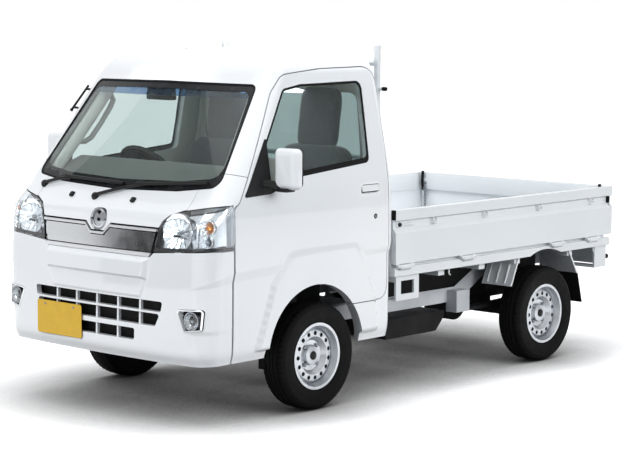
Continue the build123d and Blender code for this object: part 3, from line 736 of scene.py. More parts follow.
def skinPiece(name, body, key, spans, lift, depth, axis, outlines, holes=(), side=1, replaced=(),
              reach=None):
    piece, skinOnly = skinSlab(name, spans[0], spans[1], depth, side, [finish[key]], lift=lift, sculpt=False)
    low, high = reach or {"x": (1.0, 1.9), "y": sorted((side * 0.5, side * 1.0))}[axis]
    carve(piece, cutter(*[prism(points, axis, low, high) for points in outlines]), "INTERSECT")
    if holes:
        carve(piece, cutter(*[prism(points, axis, low - 0.01, high + 0.01) for points in holes]))
    smoothSkin(piece, skinOnly)
    return dress(piece, body, replaced)


# a round bar along a line of points, its radius steady or one for each point
def tubeMesh(points, radius, sides=10):
    points = [Vector(p) for p in points]
    radii = radius if isinstance(radius, (list, tuple)) else [radius] * len(points)
    verts, faces = [], []
    across = None
    for i, point in enumerate(points):
        ahead = (points[min(i + 1, len(points) - 1)] - points[max(i - 1, 0)]).normalized()
        guide = across if across else Vector((0, 0, 1)) if abs(ahead.z) < 0.9 else Vector((1, 0, 0))
        across = (guide - ahead * guide.dot(ahead)).normalized()
        other = ahead.cross(across)
        for k in range(sides):
            angle = 2 * pi * k / sides
            verts.append(tuple(point + (across * cos(angle) + other * sin(angle)) * radii[i]))
    for i in range(len(points) - 1):
        for k in range(sides):
            n = (k + 1) % sides
            faces.append((i * sides + k, i * sides + n, (i + 1) * sides + n, (i + 1) * sides + k))
    faces.append(tuple(reversed(range(sides))))
    faces.append(tuple((len(points) - 1) * sides + k for k in range(sides)))
    return verts, faces


def latheMesh(profile, place, axis, steps=32):  # (radius, height) pairs turned about an axis
    axis = Vector(axis).normalized()
    guide = Vector((0, 0, 1)) if abs(axis.z) < 0.9 else Vector((1, 0, 0))
    across = (guide - axis * guide.dot(axis)).normalized()
    other = axis.cross(across)
    verts, faces, rings = [], [], []
    for radius, height in profile:
        centre = Vector(place) + axis * height
        if radius < 1e-6:
            rings.append([len(verts)])
            verts.append(tuple(centre))
            continue
        rings.append(list(range(len(verts), len(verts) + steps)))
        for k in range(steps):
            angle = 2 * pi * k / steps
            verts.append(tuple(centre + (across * cos(angle) + other * sin(angle)) * radius))
    for first, second in zip(rings, rings[1:]):
        for k in range(steps):
            n = (k + 1) % steps
            if len(first) == 1:
                faces.append((first[0], second[n], second[k]))
            elif len(second) == 1:
                faces.append((first[k], first[n], second[0]))
            else:
                faces.append((first[k], first[n], second[n], second[k]))
    for ring, turned in ((rings[0], True), (rings[-1], False)):
        if len(ring) > 1:
            faces.append(tuple(reversed(ring)) if turned else tuple(ring))
    return verts, faces


def bevelled(meshPair, radius, segments=3, limit=30):  # rounds the sharp edges of a closed mesh
    work = bmesh.new()
    points = [work.verts.new(v) for v in meshPair[0]]
    for face in meshPair[1]:
        work.faces.new([points[i] for i in face])
    bmesh.ops.recalc_face_normals(work, faces=work.faces)
    edges = [e for e in work.edges if len(e.link_faces) == 2 and e.calc_face_angle() > radians(limit)]
    bmesh.ops.bevel(work, geom=edges, offset=radius, segments=segments, profile=0.5, affect="EDGES",
                    clamp_overlap=True)
    work.verts.index_update()
    result = [tuple(v.co) for v in work.verts], [tuple(v.index for v in f.verts) for f in work.faces]
    work.free()
    return result


def roundBox(low, high, radius, segments=3):
    return bevelled(prism(boxOutline(low[0], high[0], low[1], high[1]), "z", low[2], high[2]), radius,
                    segments)


def placedMesh(meshPair, matrix):
    return [tuple(matrix @ Vector(v)) for v in meshPair[0]], meshPair[1]


def mirrorMesh(meshPair):
    return [(x, -y, z) for x, y, z in meshPair[0]], [tuple(reversed(f)) for f in meshPair[1]]


# sets a flat drawing (x along, y up, z out) on a surface
def onBasis(meshPair, place, outward, upward=(0, 0, 1)):
    out = Vector(outward).normalized()
    up = (Vector(upward) - out * Vector(upward).dot(out)).normalized()
    turn = Matrix((up.cross(out), up, out)).transposed().to_4x4()
    return placedMesh(meshPair, Matrix.Translation(place) @ turn)


# (mesh, finish) pairs joined into one object
def assemble(name, body, pieces, replaced=(), angle=35):
    keys = list(dict.fromkeys(key for mesh, key in pieces))
    verts, faces, indexes = [], [], []
    for (someVerts, someFaces), key in pieces:
        faces += [tuple(i + len(verts) for i in face) for face in someFaces]
        indexes += [keys.index(key)] * len(someFaces)
        verts += someVerts
    obj = newObject(name, verts, faces, [finish[key] for key in keys])
    obj.data.polygons.foreach_set("material_index", indexes)
    faceOutward(obj)
    smoothByAngle(obj, angle)
    return dress(obj, body, replaced)


def mirrorPieces(pieces):
    return [(mirrorMesh(mesh), key) for mesh, key in pieces]


def bothSides(pieces):
    return pieces + mirrorPieces(pieces)


screenSpan = (spanList((-1.9, 1.9, 90)), spanList((4.9, 6.05, 60)))
noseSpan = (spanList((-1.9, 1.9, 120)), spanList((3.2, 4.6, 40)))
lampSpan = (spanList((-2.35, -0.5, 60), (-0.5, 0.5, 8), (0.5, 2.35, 60)), spanList((3.2, 5.05, 50)))
wholeFront = (spanList((-2.35, 2.35, 140)), spanList((0.6, 2.6, 50)))

screenTrim = {
    "clear": [(-0.627, 1.176), (-0.402, 1.152), (0.0, 1.142), (0.402, 1.152), (0.627, 1.176),
              (0.547, 1.568), (0.0, 1.575), (-0.547, 1.568)],
    "rounds": {0: 0.05, 4: 0.05, 5: 0.045, 7: 0.045},
    "bandHalf": 0.60, "band": (1.538, 1.600), "seal": 0.008,
}


def makeScreen():
    clear = roundOutline(screenTrim["clear"], screenTrim["rounds"])
    skinPiece("screenBorder", "chassis", "frit", screenSpan, -0.0040, 0.0048, "x",
              [screenOutline], [clear])
    band = boxOutline(-screenTrim["bandHalf"], screenTrim["bandHalf"], *screenTrim["band"])
    tint = skinPiece("screenTopBand", "chassis", "tint", screenSpan, -0.0104, 0.0114, "x", [clear])
    carve(tint, cutter(prism(band, "x", 0.9, 1.95)), "INTERSECT")
    smoothByAngle(tint)
    edge = growOutline(screenOutline, -screenTrim["seal"])
    skinPiece("screenSeal", "chassis", "seal", screenSpan, 0.0005, 0.0040, "x", [screenOutline],
              [edge])


makeScreen()
print("screen made")

handleShape = {"x": (0.428, 0.557), "z": (1.060, 1.092), "belt": 0.014, "lock": (0.456, 0.932),
               "centre": (0.49, 1.07), "round": 0.008}
sailShape = {"outline": [(1.398, 1.086), (1.208, 1.372), (1.208, 1.094)], "round": 0.008}


def makeDoorTrim(name, side):
    body = "door_" + name
    span = (spanList((1.0, 2.0, 16), (2.0, 3.0, 60)), spanList((4.9, 6.05, 50)))
    raised = [(u, w + (handleShape["belt"] if i > 3 else 0)) for i, (u, w) in enumerate(doorShape["window"])]
    clear = growOutline(roundOutline(raised, {i: r + 0.006 for i, r in doorShape["windowRounds"].items()}),
                        -0.012)
    skinPiece("windowSeal_" + name, body, "seal", span, -0.001, 0.0045, "y", [windowOutline],
              [clear], side)
    sail = roundAll(sailShape["outline"], sailShape["round"])
    skinPiece("mirrorSail_" + name, body, "black", span, 0.001, 0.0048, "y", [sail], (),
              side)
    gripX, gripZ = handleShape["centre"]
    grip = sidePoint(gripX, gripZ, side)
    (x0, x1), (z0, z1) = handleShape["x"], handleShape["z"]
    flap = roundAll(boxOutline(x0 - gripX, x1 - gripX, z0 - gripZ, z1 - gripZ), handleShape["round"])
    if side > 0:
        flap = mirrorOutline(flap)
    plate = bevelled(prism(flap, "z", -0.007, 0.003), 0.0025)
    # a dark plate a little larger than the flap, set behind it: painted shade in the gap round the handle
    shade = prism(growOutline(flap, 0.0035), "z", -0.012, -0.0005)
    out = sideNormal(gripX, gripZ, side)
    lockAt = sidePoint(*handleShape["lock"], side)
    lockOut = sideNormal(*handleShape["lock"], side)
    ring = latheMesh([(0.0, -0.004), (0.013, -0.004), (0.013, 0.0010), (0.011, 0.0018), (0.0, 0.0018)],
                     lockAt, lockOut, 28)
    core = latheMesh([(0.0, 0.0), (0.0075, 0.0), (0.0075, 0.0026), (0.006, 0.0032), (0.0, 0.0032)], lockAt,
                     lockOut, 24)
    # the key slot is near-black: painted shade in the slot
    keyway = bevelled(prism(boxOutline(-0.0012, 0.0012, -0.005, 0.005), "z", 0.001, 0.0036), 0.0003, 1)
    slot = onBasis(keyway, lockAt, lockOut)
    assemble("doorHandle_" + name, body, [
        (onBasis(plate, grip, out), "body"), (onBasis(shade, grip, out), "seal"), (ring, "seal"),
        (core, "steel"), (slot, "shadeBlack")])


mirrorShape = {"low": (1.168, 0.752, 1.120), "high": (1.233, 0.900, 1.315), "round": 0.026,
               "inset": 0.012, "glassRound": 0.02}


def makeMirror(name, side):
    low, high, r = mirrorShape["low"], mirrorShape["high"], mirrorShape["round"]
    middle = [(a + b) / 2 for a, b in zip(low, high)]
    shell = roundBox(low, high, r, 6)
    shaped = []
    for x, y, z in shell[0]:  # the front narrows and the glass side stays flat
        ahead = max(0, (x - middle[0]) / (high[0] - middle[0]))
        pinch = 1 - 0.16 * ahead**2
        shaped.append((x, middle[1] + (y - middle[1]) * pinch,
                       middle[2] + (z - middle[2]) * (1 - 0.10 * ahead**2)))
    inset = mirrorShape["inset"]
    area = boxOutline(low[1] + inset, high[1] - inset, low[2] + inset, high[2] - inset)
    face = roundAll(area, mirrorShape["glassRound"])
    glass = bevelled(prism(face, "x", low[0] - 0.0012, low[0] + 0.002), 0.0006, 1)
    rim = bevelled(prism(growOutline(face, 0.004), "x", low[0] - 0.0006, low[0] + 0.003), 0.0006, 1)
    arm = tubeMesh([(1.262, 0.690, 1.148), (1.245, 0.715, 1.146), (1.222, 0.755, 1.142),
                    (1.205, 0.790, 1.140)],
                   [0.026, 0.021, 0.018, 0.020], 14)
    foot = bevelled(prism(boxOutline(1.170, 1.232, 0.775, 0.845), "z", 1.108, 1.126), 0.006)
    pieces = [((shaped, shell[1]), "body"), (rim, "black"), (glass, "mirror"), (arm, "black"),
              (foot, "black")]
    if side < 0:
        pieces = mirrorPieces(pieces)
    assemble("mirrorHead_" + name, "door_" + name, pieces, ["mirror_" + name])


def makePillarSeam(name, side):  # joint line across the foot of the windscreen pillar
    span = (spanList((1.0, 2.0, 24), (2.0, 2.3, 8)), spanList((5.0, 5.6, 24)))
    line = [(1.358, 1.1785), (1.444, 1.1985), (1.444, 1.2010), (1.358, 1.1810)]
    skinPiece("pillarSeam_" + name, "chassis", "seal", span, 0.0003, 0.002, "y", [line], (), side)


for trimName, trimSide in sideSigns.items():
    makeDoorTrim(trimName, trimSide)
    makeMirror(trimName, trimSide)
    makePillarSeam(trimName, trimSide)
print("door trim made")

lampParts = {"beam": (0.530, 0.926, 0.090), "turn": (0.690, 0.958, 0.034), "side": (0.694, 0.890, 0.026)}


def fluted(meshPair, steps, axis, ripple):  # every other pair of columns of a turned bowl stands forward
    verts = [tuple(Vector(v) + Vector(axis) * ripple * ((i % steps) // 2 % 2))
             for i, v in enumerate(meshPair[0])]
    return verts, meshPair[1]


def loopMesh(loops):  # closed loops of points joined in turn, the last to the first
    count = len(loops[0])
    faces = []
    for i in range(len(loops)):
        a, b = i * count, (i + 1) % len(loops) * count
        faces += [(a + k, a + (k + 1) % count, b + (k + 1) % count, b + k) for k in range(count)]
    return [tuple(p) for loop in loops for p in loop], faces


def makeHeadlamps():
    inner = [growOutline(p, -0.004) for p in lampPair]
    clear = [lampShape["clear"], mirrorOutline(lampShape["clear"])]
    skinPiece("lampLenses", "chassis", "lens", lampSpan, 0.001, 0.0016, "x", inner, (), 1,
              ["headlamps"], (bumperShape["splitX"], 1.9))
    skinPiece("lampRims", "chassis", "black", lampSpan, -0.0018, 0.010, "x", inner, clear,
              1, (), (bumperShape["splitX"], 1.9))
    skinPiece("lampBowls", "chassis", "reflector", lampSpan, -0.030, 0.034, "x", inner, (), 1,
              (), (1.42, 1.9))
    pieces = []
    for key, (y, z, radius) in lampParts.items():
        place = frontPoint(y, z)
        out = (frontNormal(y, z) + Vector((1.2, 0, 0))).normalized()
        back = place - out * 0.032
        bowl = [(0.006, 0.0), (radius * 0.35, 0.003), (radius * 0.7, 0.011), (radius, 0.024),
                (radius + 0.003, 0.024), (radius + 0.003, 0.0)]
        pieces.append((fluted(latheMesh(bowl, back, out, 48), 48, out, 0.0035), "reflector"))
        bulb = [(0.0, 0.018), (0.006, 0.016), (0.008, 0.010), (0.008, 0.0)]
        if key == "turn":
            bulb = [(0.0, 0.022), (0.010, 0.020), (0.015, 0.013), (0.015, 0.0)]
        pieces.append((latheMesh(bulb, back, out, 20), "amber" if key == "turn" else "steel"))
        if key == "beam":
            shade = roundBox((-0.030, -0.020, 0.016), (0.018, -0.009, 0.024), 0.003)
            pieces.append((onBasis(shade, back, out), "black"))
    for k in range(7):  # flutes across the outer half
        z = 0.866 + 0.026 * k
        line = [frontPoint(y, z + (y - 0.65) * 0.06) - frontNormal(y, z) * 0.026
                for y in np.linspace(0.655, 0.718, 8)]
        pieces.append((tubeMesh(line, 0.0035, 6), "reflector"))
    wall = [frontPoint(0.645, z) - frontNormal(0.645, z) * 0.020 for z in np.linspace(0.862, 1.030, 8)]
    pieces.append((tubeMesh(wall, 0.005, 8), "reflector"))
    assemble("lampInsides", "chassis", bothSides(pieces))


grilleTrim = {
    "top": [(-0.430, 0.924), (-0.086, 0.924), (-0.046, 0.886), (0.046, 0.886), (0.086, 0.924), (0.430, 0.924),
            (0.430, 0.936), (0.090, 0.936), (0.048, 0.897), (-0.048, 0.897), (-0.090, 0.936),
            (-0.430, 0.936)],
    "low": [(-0.366, 0.804), (0.366, 0.804), (0.376, 0.822), (-0.376, 0.822)],
    "panel": [(-0.374, 0.826), (0.374, 0.826), (0.392, 0.918), (0.088, 0.918), (0.048, 0.880),
              (-0.048, 0.880), (-0.088, 0.918), (-0.392, 0.918)],
    "boss": {"z": 0.957, "front": 1.668, "radius": 0.056},
}


def makeGrille():
    lampHoles = [growOutline(p, 0.003) for p in lampPair]
    # a near-black backing behind the gap round the grille: painted shade in the gap
    skinPiece("grilleShadeBacking", "chassis", "shadeBlack", noseSpan, -0.012, 0.018, "x",
              [growOutline(grilleShape["outline"], 0.006)], lampHoles, 1, ["grille_panel"])
    skinPiece("grilleFace", "chassis", "satin", noseSpan, -0.001, 0.010, "x",
              [grilleTrim["panel"]])
    for key, name in (("top", "chromeTopStrip"), ("low", "chromeLowStrip")):
        skinPiece(name, "chassis", "trim", noseSpan, 0.007, 0.004, "x", [grilleTrim[key]],
                  lampHoles, 1, ["grille_trim"] if key == "top" else ())
    boss = grilleTrim["boss"]
    r = boss["radius"]
    profile = [(0.0, -0.030), (r, -0.030), (r, -0.010), (r - 0.002, -0.004), (r - 0.007, 0.0),
               (r - 0.012, -0.004), (r - 0.014, -0.010)]
    profile += [(p, -0.0095 * (p / 0.040)**2) for p in (0.040, 0.034, 0.028, 0.022, 0.016, 0.010, 0.005, 0.0)]
    ring = latheMesh(profile, (boss["front"], 0, boss["z"]), (1, 0, 0.10), 56)
    assemble("frontBoss", "chassis", [(ring, "smoked")], ["front_boss"])


def makeLowGrille():
    posts = []
    for y in bumperShape["bars"]:
        w = bumperShape["barHalf"]
        posts += [boxOutline(y - w, y + w, 0.470, 0.600)]
        if abs(y) < 0.2:
            posts += [boxOutline(y - w, y + w, 0.394, 0.458)]
    skinPiece("lowGrillePosts", "chassis", "body", wholeFront, -0.012, 0.028, "x", posts)


fogParts = {  # the bezel's sections are (growth of the outline, height over the skin)
    "centre": (0.634, 0.522), "radius": 0.040,
    "bezel": {"chrome": [(-0.001, -0.018), (-0.001, 0.001), (-0.004, 0.004), (-0.008, 0.003),
                         (-0.008, -0.018)],
              "smoked": [(-0.008, -0.018), (-0.008, 0.0025), (-0.019, -0.017)]},
}


def makeFogLamps():
    fogSpan = (spanList((-2.35, -1, 60), (-1, 1, 6), (1, 2.35, 60)), spanList((1, 2.2, 40)))
    bezel = []
    for key, section in fogParts["bezel"].items():
        loops = []
        for grow, height in section:
            edge = growOutline(fogPair[0], grow)
            loops.append([frontPoint(y, z) + frontNormal(y, z) * height for y, z in edge])
        bezel.append((loopMesh(loops), key))
    assemble("fogBezels", "chassis", bothSides(bezel), ["fog_lamps"])
    skinPiece("fogBacks", "chassis", "black", fogSpan, -0.022, 0.027, "x", fogPair)
    y, z = fogParts["centre"]
    r = fogParts["radius"]
    out = (frontNormal(y, z) + Vector((0.8, 0, 0))).normalized()
    back = frontPoint(y, z) - out * 0.026
    bowl = [(0.0, 0.0), (r * 0.5, 0.002), (r * 0.85, 0.010), (r, 0.020), (r + 0.004, 0.020), (r + 0.004, 0.0)]
    lens = [(0.0, 0.0245), (r * 0.6, 0.0235), (r, 0.020), (r, 0.0185), (r * 0.6, 0.0215), (0.0, 0.0225)]
    bulb = [(0.0, 0.014), (0.007, 0.012), (0.008, 0.0)]
    assemble("fogInsides", "chassis", bothSides([
        (latheMesh(bowl, back, out, 40), "smoked"), (latheMesh(bulb, back, out, 20), "steel"),
        (latheMesh(lens, back, out, 40), "lens")]))


plateShape = {"y": (-0.419, -0.089), "z": (0.363, 0.528), "back": 1.6955, "round": 0.012, "rim": 0.004}


def makePlate():
    (y0, y1), (z0, z1) = plateShape["y"], plateShape["z"]
    outline = roundAll(boxOutline(y0, y1, z0, z1), plateShape["round"])
    sheet = bevelled(prism(outline, "x", plateShape["back"], plateShape["back"] + 0.0013), 0.0004, 1)
    inner = growOutline(outline, -plateShape["rim"])
    front = plateShape["back"] + 0.0022
    outerRing = [(plateShape["back"] + 0.001, y, z) for y, z in outline]
    crest = [(front, y, z) for y, z in growOutline(outline, -plateShape["rim"] / 2)]
    innerRing = [(plateShape["back"] + 0.001, y, z) for y, z in inner]
    pieces = [(sheet, "plate"), (loopMesh([outerRing, crest, innerRing]), "plate")]
    for y in (-0.359, -0.149):
        screw = [(0.0, 0.003), (0.004, 0.0028), (0.006, 0.0016), (0.006, 0.0)]
        pieces.append((latheMesh(screw, (plateShape["back"] + 0.0012, y, z1 - 0.018), (1, 0, 0), 20),
                       "steel"))
    assemble("numberPlate", "chassis", pieces, ["number_plate"])


wiperShape = {
    "paths": [((-0.536, 1.084), (-0.316, 1.124), (0.060, 1.116)),
              ((-0.103, 1.052), (0.215, 1.123), (0.589, 1.146))],
    "nozzles": [(-0.278, 1.048), (0.168, 1.049)],
    "pivot": [(0.021, -0.012), (0.021, 0.005), (0.018, 0.013), (0.012, 0.019), (0.0, 0.021)],
}


def makeWipers():
    pieces = []
    for pivot, elbow, tip in wiperShape["paths"]:
        base = frontPoint(*pivot)
        out = frontNormal(*pivot)
        pieces.append((latheMesh(wiperShape["pivot"], base, out, 24), "black"))
        arm = []
        for t in np.linspace(0, 1, 9):
            y, z = (a + (b - a) * t for a, b in zip(pivot, elbow))
            arm.append(frontPoint(y, z) + frontNormal(y, z) * (0.012 + 0.010 * sin(pi * t)))
        pieces.append((tubeMesh(arm, [0.009 - 0.003 * t for t in np.linspace(0, 1, 9)], 10), "black"))
        start = [e - (t - e) * 0.18 for e, t in zip(elbow, tip)]
        for lift, radius in ((0.017, 0.0080), (0.0085, 0.0055), (0.0036, 0.0024)):
            blade = []
            for t in np.linspace(0, 1, 15):
                y, z = (a + (b - a) * t for a, b in zip(start, tip))
                blade.append(frontPoint(y, z) + frontNormal(y, z) * lift)
            pieces.append((tubeMesh(blade, radius, 8), "black" if lift > 0.01 else "seal"))
    for y, z in wiperShape["nozzles"]:
        bump = bevelled(prism(boxOutline(-0.013, 0.013, -0.012, 0.017), "z", -0.003, 0.013), 0.006)
        pieces.append((onBasis(bump, frontPoint(y, z), frontNormal(y, z)), "black"))
    assemble("wiperSet", "chassis", pieces, ["wipers"])


makeHeadlamps()
makeGrille()
makeLowGrille()
makeFogLamps()
makePlate()
makeWipers()
print("nose made")

tyreShape = {
    "steps": 240, "sipes": 4,
    "side": [(0.159, 0.0555), (0.170, 0.0590), (0.176, 0.0655), (0.180, 0.0655), (0.192, 0.0695),
             (0.215, 0.0722),
             (0.234, 0.0718), (0.240, 0.0728), (0.244, 0.0716), (0.252, 0.0675), (0.260, 0.0610),
             (0.2648, 0.0530)],
    "grooves": (0.036, 0.012), "grooveHalf": 0.0028, "grooveDeep": 0.006, "crown": 0.2675,
}


def tyreMesh(place):
    shape = tyreShape
    profile = [(r, -h) for r, h in shape["side"]]
    half = shape["grooveHalf"]
    for centre in (-shape["grooves"][0], -shape["grooves"][1], shape["grooves"][1], shape["grooves"][0]):
        top = shape["crown"] - 0.06 * centre**2 / 0.02
        profile += [(top, centre - half), (top - shape["grooveDeep"], centre - half * 0.6),
                    (top - shape["grooveDeep"], centre + half * 0.6), (top, centre + half)]
    profile += [(r, h) for r, h in reversed(shape["side"])]
    verts, faces = latheMesh(profile, place, (0, 1, 0), shape["steps"])
    steps = shape["steps"]
    for j, (radius, height) in enumerate(profile):
        if radius > 0.255 and abs(height) > 0.038:  # short cuts across the shoulder blocks
            for k in range(0, steps, shape["sipes"]):
                spot = Vector(verts[j * steps + k]) - Vector(place)
                inward = Vector((spot.x, 0, spot.z)).normalized() * 0.005
                verts[j * steps + k] = tuple(Vector(place) + spot - inward)
    return verts, faces[:-2]  # the bead side stays open, inside the rim


wheelPlaces = {
    "front_left": (0.868, 1), "front_right": (0.868, -1), "rear_left": (-1.032, 1),
    "rear_right": (-1.032, -1),
}
wheelShape = {"y": 0.652, "z": 0.268, "nutCircle": 0.062, "nuts": 4, "nutSeat": 0.0125,
              "nut": [(0.0105, -0.002), (0.0105, 0.009), (0.0085, 0.0115), (0.0045, 0.013), (0.0, 0.0132)],
              "cap": [(0.0, 0.0415), (0.016, 0.041), (0.0215, 0.037), (0.0225, 0.030), (0.0225, 0.02)],
              "drum": [(0.030, -0.030), (0.133, -0.030), (0.133, -0.024), (0.030, -0.024)],
              "stem": [(0.0055, -0.012), (0.0055, 0.010), (0.0042, 0.012), (0.0042, 0.022), (0.0, 0.0225)],
              "stemAngle": 0.7, "stemCircle": 0.143, "stemSeat": 0.030}


def makeWheel(name, x, side):
    place = (x, side * wheelShape["y"], wheelShape["z"])
    assemble("tyreTread_" + name, "wheel_" + name, [(tyreMesh(place), "tyre")], ["tyre_" + name], 50)
    out = Vector((0, side, 0))

    def around(angle, circle, seat):  # a place on the wheel's outer face
        return Vector(place) + Vector((cos(angle), 0, sin(angle))) * circle + out * seat

    pieces = [(latheMesh(wheelShape["cap"], place, out, 32), "black")]
    for k in range(wheelShape["nuts"]):
        spot = around(2 * pi * (k + 0.5) / wheelShape["nuts"], wheelShape["nutCircle"], wheelShape["nutSeat"])
        pieces.append((latheMesh(wheelShape["nut"], spot, out, 6), "steel"))
    # a near-black disc behind the wheel face: painted shade inside the wheel
    pieces.append((latheMesh(wheelShape["drum"], place, out, 40), "shadeBlack"))
    stem = around(wheelShape["stemAngle"], wheelShape["stemCircle"], wheelShape["stemSeat"])
    pieces.append((latheMesh(wheelShape["stem"], stem, out, 14), "seal"))
    assemble("wheelNuts_" + name, "wheel_" + name, pieces)


for wheelName, (wheelX, wheelSide) in wheelPlaces.items():
    makeWheel(wheelName, wheelX, wheelSide)
print("wheels made")

gateShape = {
    "outer": 0.722, "recess": 0.702, "loops": (-0.042, -0.479, -0.971, -1.479), "hooks": (-0.173, -1.510),
    "latch": (0.175, 0.262), "hinges": (0.210, -0.315, -1.130, -1.480),
}
bedPlates = {  # a plate along the frame rail, and dark sheets above it and inside the rear wheel: painted shade where the underbody is in shadow
    "rail": [(0.250, 0.352), (-0.650, 0.352), (-0.890, 0.480), (-0.850, 0.552), (-0.610, 0.432),
             (0.250, 0.432)],
    "shadeSheet": [(0.250, 0.432), (-0.610, 0.432), (-0.850, 0.552), (-0.850, 0.569), (0.250, 0.569)],
    "shadeLiners": [((-1.270, 0.400), (-0.800, 0.568), 0.470), ((-1.400, 0.335), (-0.640, 0.560), 0.360),
               ((-0.985, 0.275), (-0.640, 0.345), 0.366)],
}


def makeGateTrim(name, side):
    y, base = gateShape["outer"], gateShape["recess"]
    pieces = []
    for x in gateShape["loops"]:  # rope loops in the channel under the rail
        loop = [(x - 0.016, base - 0.001, 0.884), (x - 0.016, y - 0.008, 0.881),
                (x - 0.015, y - 0.005, 0.868),
                (x - 0.010, y - 0.004, 0.859), (x + 0.010, y - 0.004, 0.859), (x + 0.015, y - 0.005, 0.868),
                (x + 0.016, y - 0.008, 0.881), (x + 0.016, base - 0.001, 0.884)]
        pieces.append((tubeMesh(loop, 0.0036, 8), "bed"))
        pieces.append((roundBox((x - 0.026, base - 0.001, 0.874), (x + 0.026, base + 0.003, 0.887), 0.0012,
                                2), "bed"))
    x0, x1 = gateShape["latch"]
    pieces.append((roundBox((x0, base - 0.001, 0.856), (x1, base + 0.006, 0.884), 0.003), "bed"))
    pieces.append((roundBox((x0 - 0.050, base + 0.004, 0.862), (x1 - 0.030, base + 0.013, 0.876), 0.004),
                   "bed"))
    pin = [(0.0, 0.018), (0.008, 0.017), (0.011, 0.013), (0.011, 0.0)]
    pieces.append((latheMesh(pin, (x1 - 0.022, base, 0.869), (0, 1, 0), 24), "black"))
    # inner rail
    pieces.append((roundBox((-1.600, y - 0.0445, 0.842), (0.240, y - 0.0305, 0.9445), 0.003, 2), "bed"))
    pieces.append((roundBox((0.2745, y - 0.031, 0.894), (0.2825, y - 0.0006, 0.9455), 0.002, 2), "seal"))
    pieces.append((roundBox((-1.6505, base - 0.001, 0.852), (-1.640, y - 0.001, 0.889), 0.003, 2), "seal"))
    if side < 0:
        pieces = mirrorPieces(pieces)
    assemble("gateTrim_" + name, "gate_" + name, pieces)


def makeBedTrim():
    pieces = []
    for x in gateShape["hooks"]:
        hook = [(x, 0.708, 0.612), (x, 0.708, 0.580), (x, 0.712, 0.573), (x, 0.718, 0.572)]
        pieces.append((tubeMesh(hook, 0.0042, 8), "bed"))
    buffer = [(0.0, 0.022), (0.010, 0.021), (0.014, 0.016), (0.014, 0.0)]
    pieces.append((latheMesh(buffer, (-1.650, 0.696, 0.535), (-1, 0, 0), 24), "seal"))
    for k in range(3):  # pressed ribs down the front mud plate
        y = 0.535 + 0.060 * k
        pieces.append((tubeMesh([(-0.793, y, 0.596), (-0.735, y, 0.462)], [0.006, 0.006], 10), "bed"))
    for x in gateShape["hinges"]:
        cap = [(0.700, 0.662), (0.729, 0.662), (0.7365, 0.656), (0.7365, 0.645), (0.727, 0.635),
               (0.700, 0.635)]
        pieces.append((bevelled(prism(cap, "x", x - 0.043, x + 0.043), 0.002, 2), "bed"))
    pieces.append((prism(bedPlates["rail"], "y", 0.3955, 0.3995), "frame"))
    # dark sheets above the rail and round the rear wheel: painted shade
    pieces.append((prism(bedPlates["shadeSheet"], "y", 0.3956, 0.3990), "shadeBlack"))
    for (x0, z0), (x1, z1), y in bedPlates["shadeLiners"]:
        pieces.append((roundBox((x0, y, z0), (x1, y + 0.004, z1), 0.001, 1), "shadeBlack"))
    cap = [(0.0, 0.010), (0.008, 0.0095), (0.0105, 0.006), (0.0105, -0.016)]
    pieces.append((latheMesh(cap, (0.238, 0.604, 1.560), (0, 1, 0), 20), "seal"))
    assemble("bedTrim", "chassis", bothSides(pieces))
    ribs = []
    for y in (-0.27, -0.09, 0.09, 0.27):
        rib = roundAll(boxOutline(0.44, 0.80, y - 0.028, y + 0.028), 0.02)
        ribs.append((bevelled(prism(rib, "z", 1.7562, 1.7620), 0.0035), "body"))
    assemble("roofRibs", "chassis", ribs)


for gateName, gateSide in sideSigns.items():
    makeGateTrim(gateName, gateSide)
makeBedTrim()
print("bed trim made")

latchShape = {"y": 0.668, "x": -1.645, "z": (0.800, 0.935)}


def makeTailLatches():  # lever catches at the rear corners, inside the bed
    y, x, (z0, z1) = latchShape["y"], latchShape["x"], latchShape["z"]
    pieces = [
        (roundBox((x - 0.006, y - 0.022, z0), (x + 0.006, y + 0.012, z1 - 0.025), 0.003, 2), "bed"),
        (tubeMesh([(x + 0.010, y - 0.005, z0 + 0.040), (x + 0.020, y - 0.005, z1 - 0.050),
                   (x + 0.014, y - 0.005, z1 + 0.022)],
                  [0.008, 0.008, 0.010], 10), "seal"),
        (latheMesh([(0.0, 0.014), (0.010, 0.013), (0.012, 0.009), (0.012, 0.0)],
                   (x + 0.004, y - 0.005, z0 + 0.050), (1, 0, 0), 20), "steel"),
        (roundBox((x + 0.004, y - 0.030, z1 - 0.062), (x + 0.016, y + 0.006, z1 - 0.044), 0.003, 2), "steel"),
    ]
    for k in range(9):  # chain, each link turned a quarter from the one above
        link = []
        for step in range(11):
            angle = 2 * pi * step / 10
            wide, tall = 0.007 * cos(angle), 0.0125 * sin(angle)
            side = (0, wide) if k % 2 else (wide, 0)
            link.append((x + 0.020 + side[0], y - 0.028 + side[1], z0 + 0.055 - 0.019 * k + tall))
        pieces.append((tubeMesh(link, 0.0024, 6), "steel"))
    pieces = bothSides(pieces)
    # inner rail
    pieces.append((roundBox((x - 0.006, -0.645, 0.842), (x + 0.008, 0.645, 0.9445), 0.003, 2), "bed"))
    assemble("tailLatches", "gate_tail", pieces)


tailLamp = {"x": (-1.668, -1.6505), "z": (0.500, 0.580),
            "segments": [("red", 0.424, 0.500), ("amber", 0.503, 0.560), ("lens", 0.563, 0.616)]}


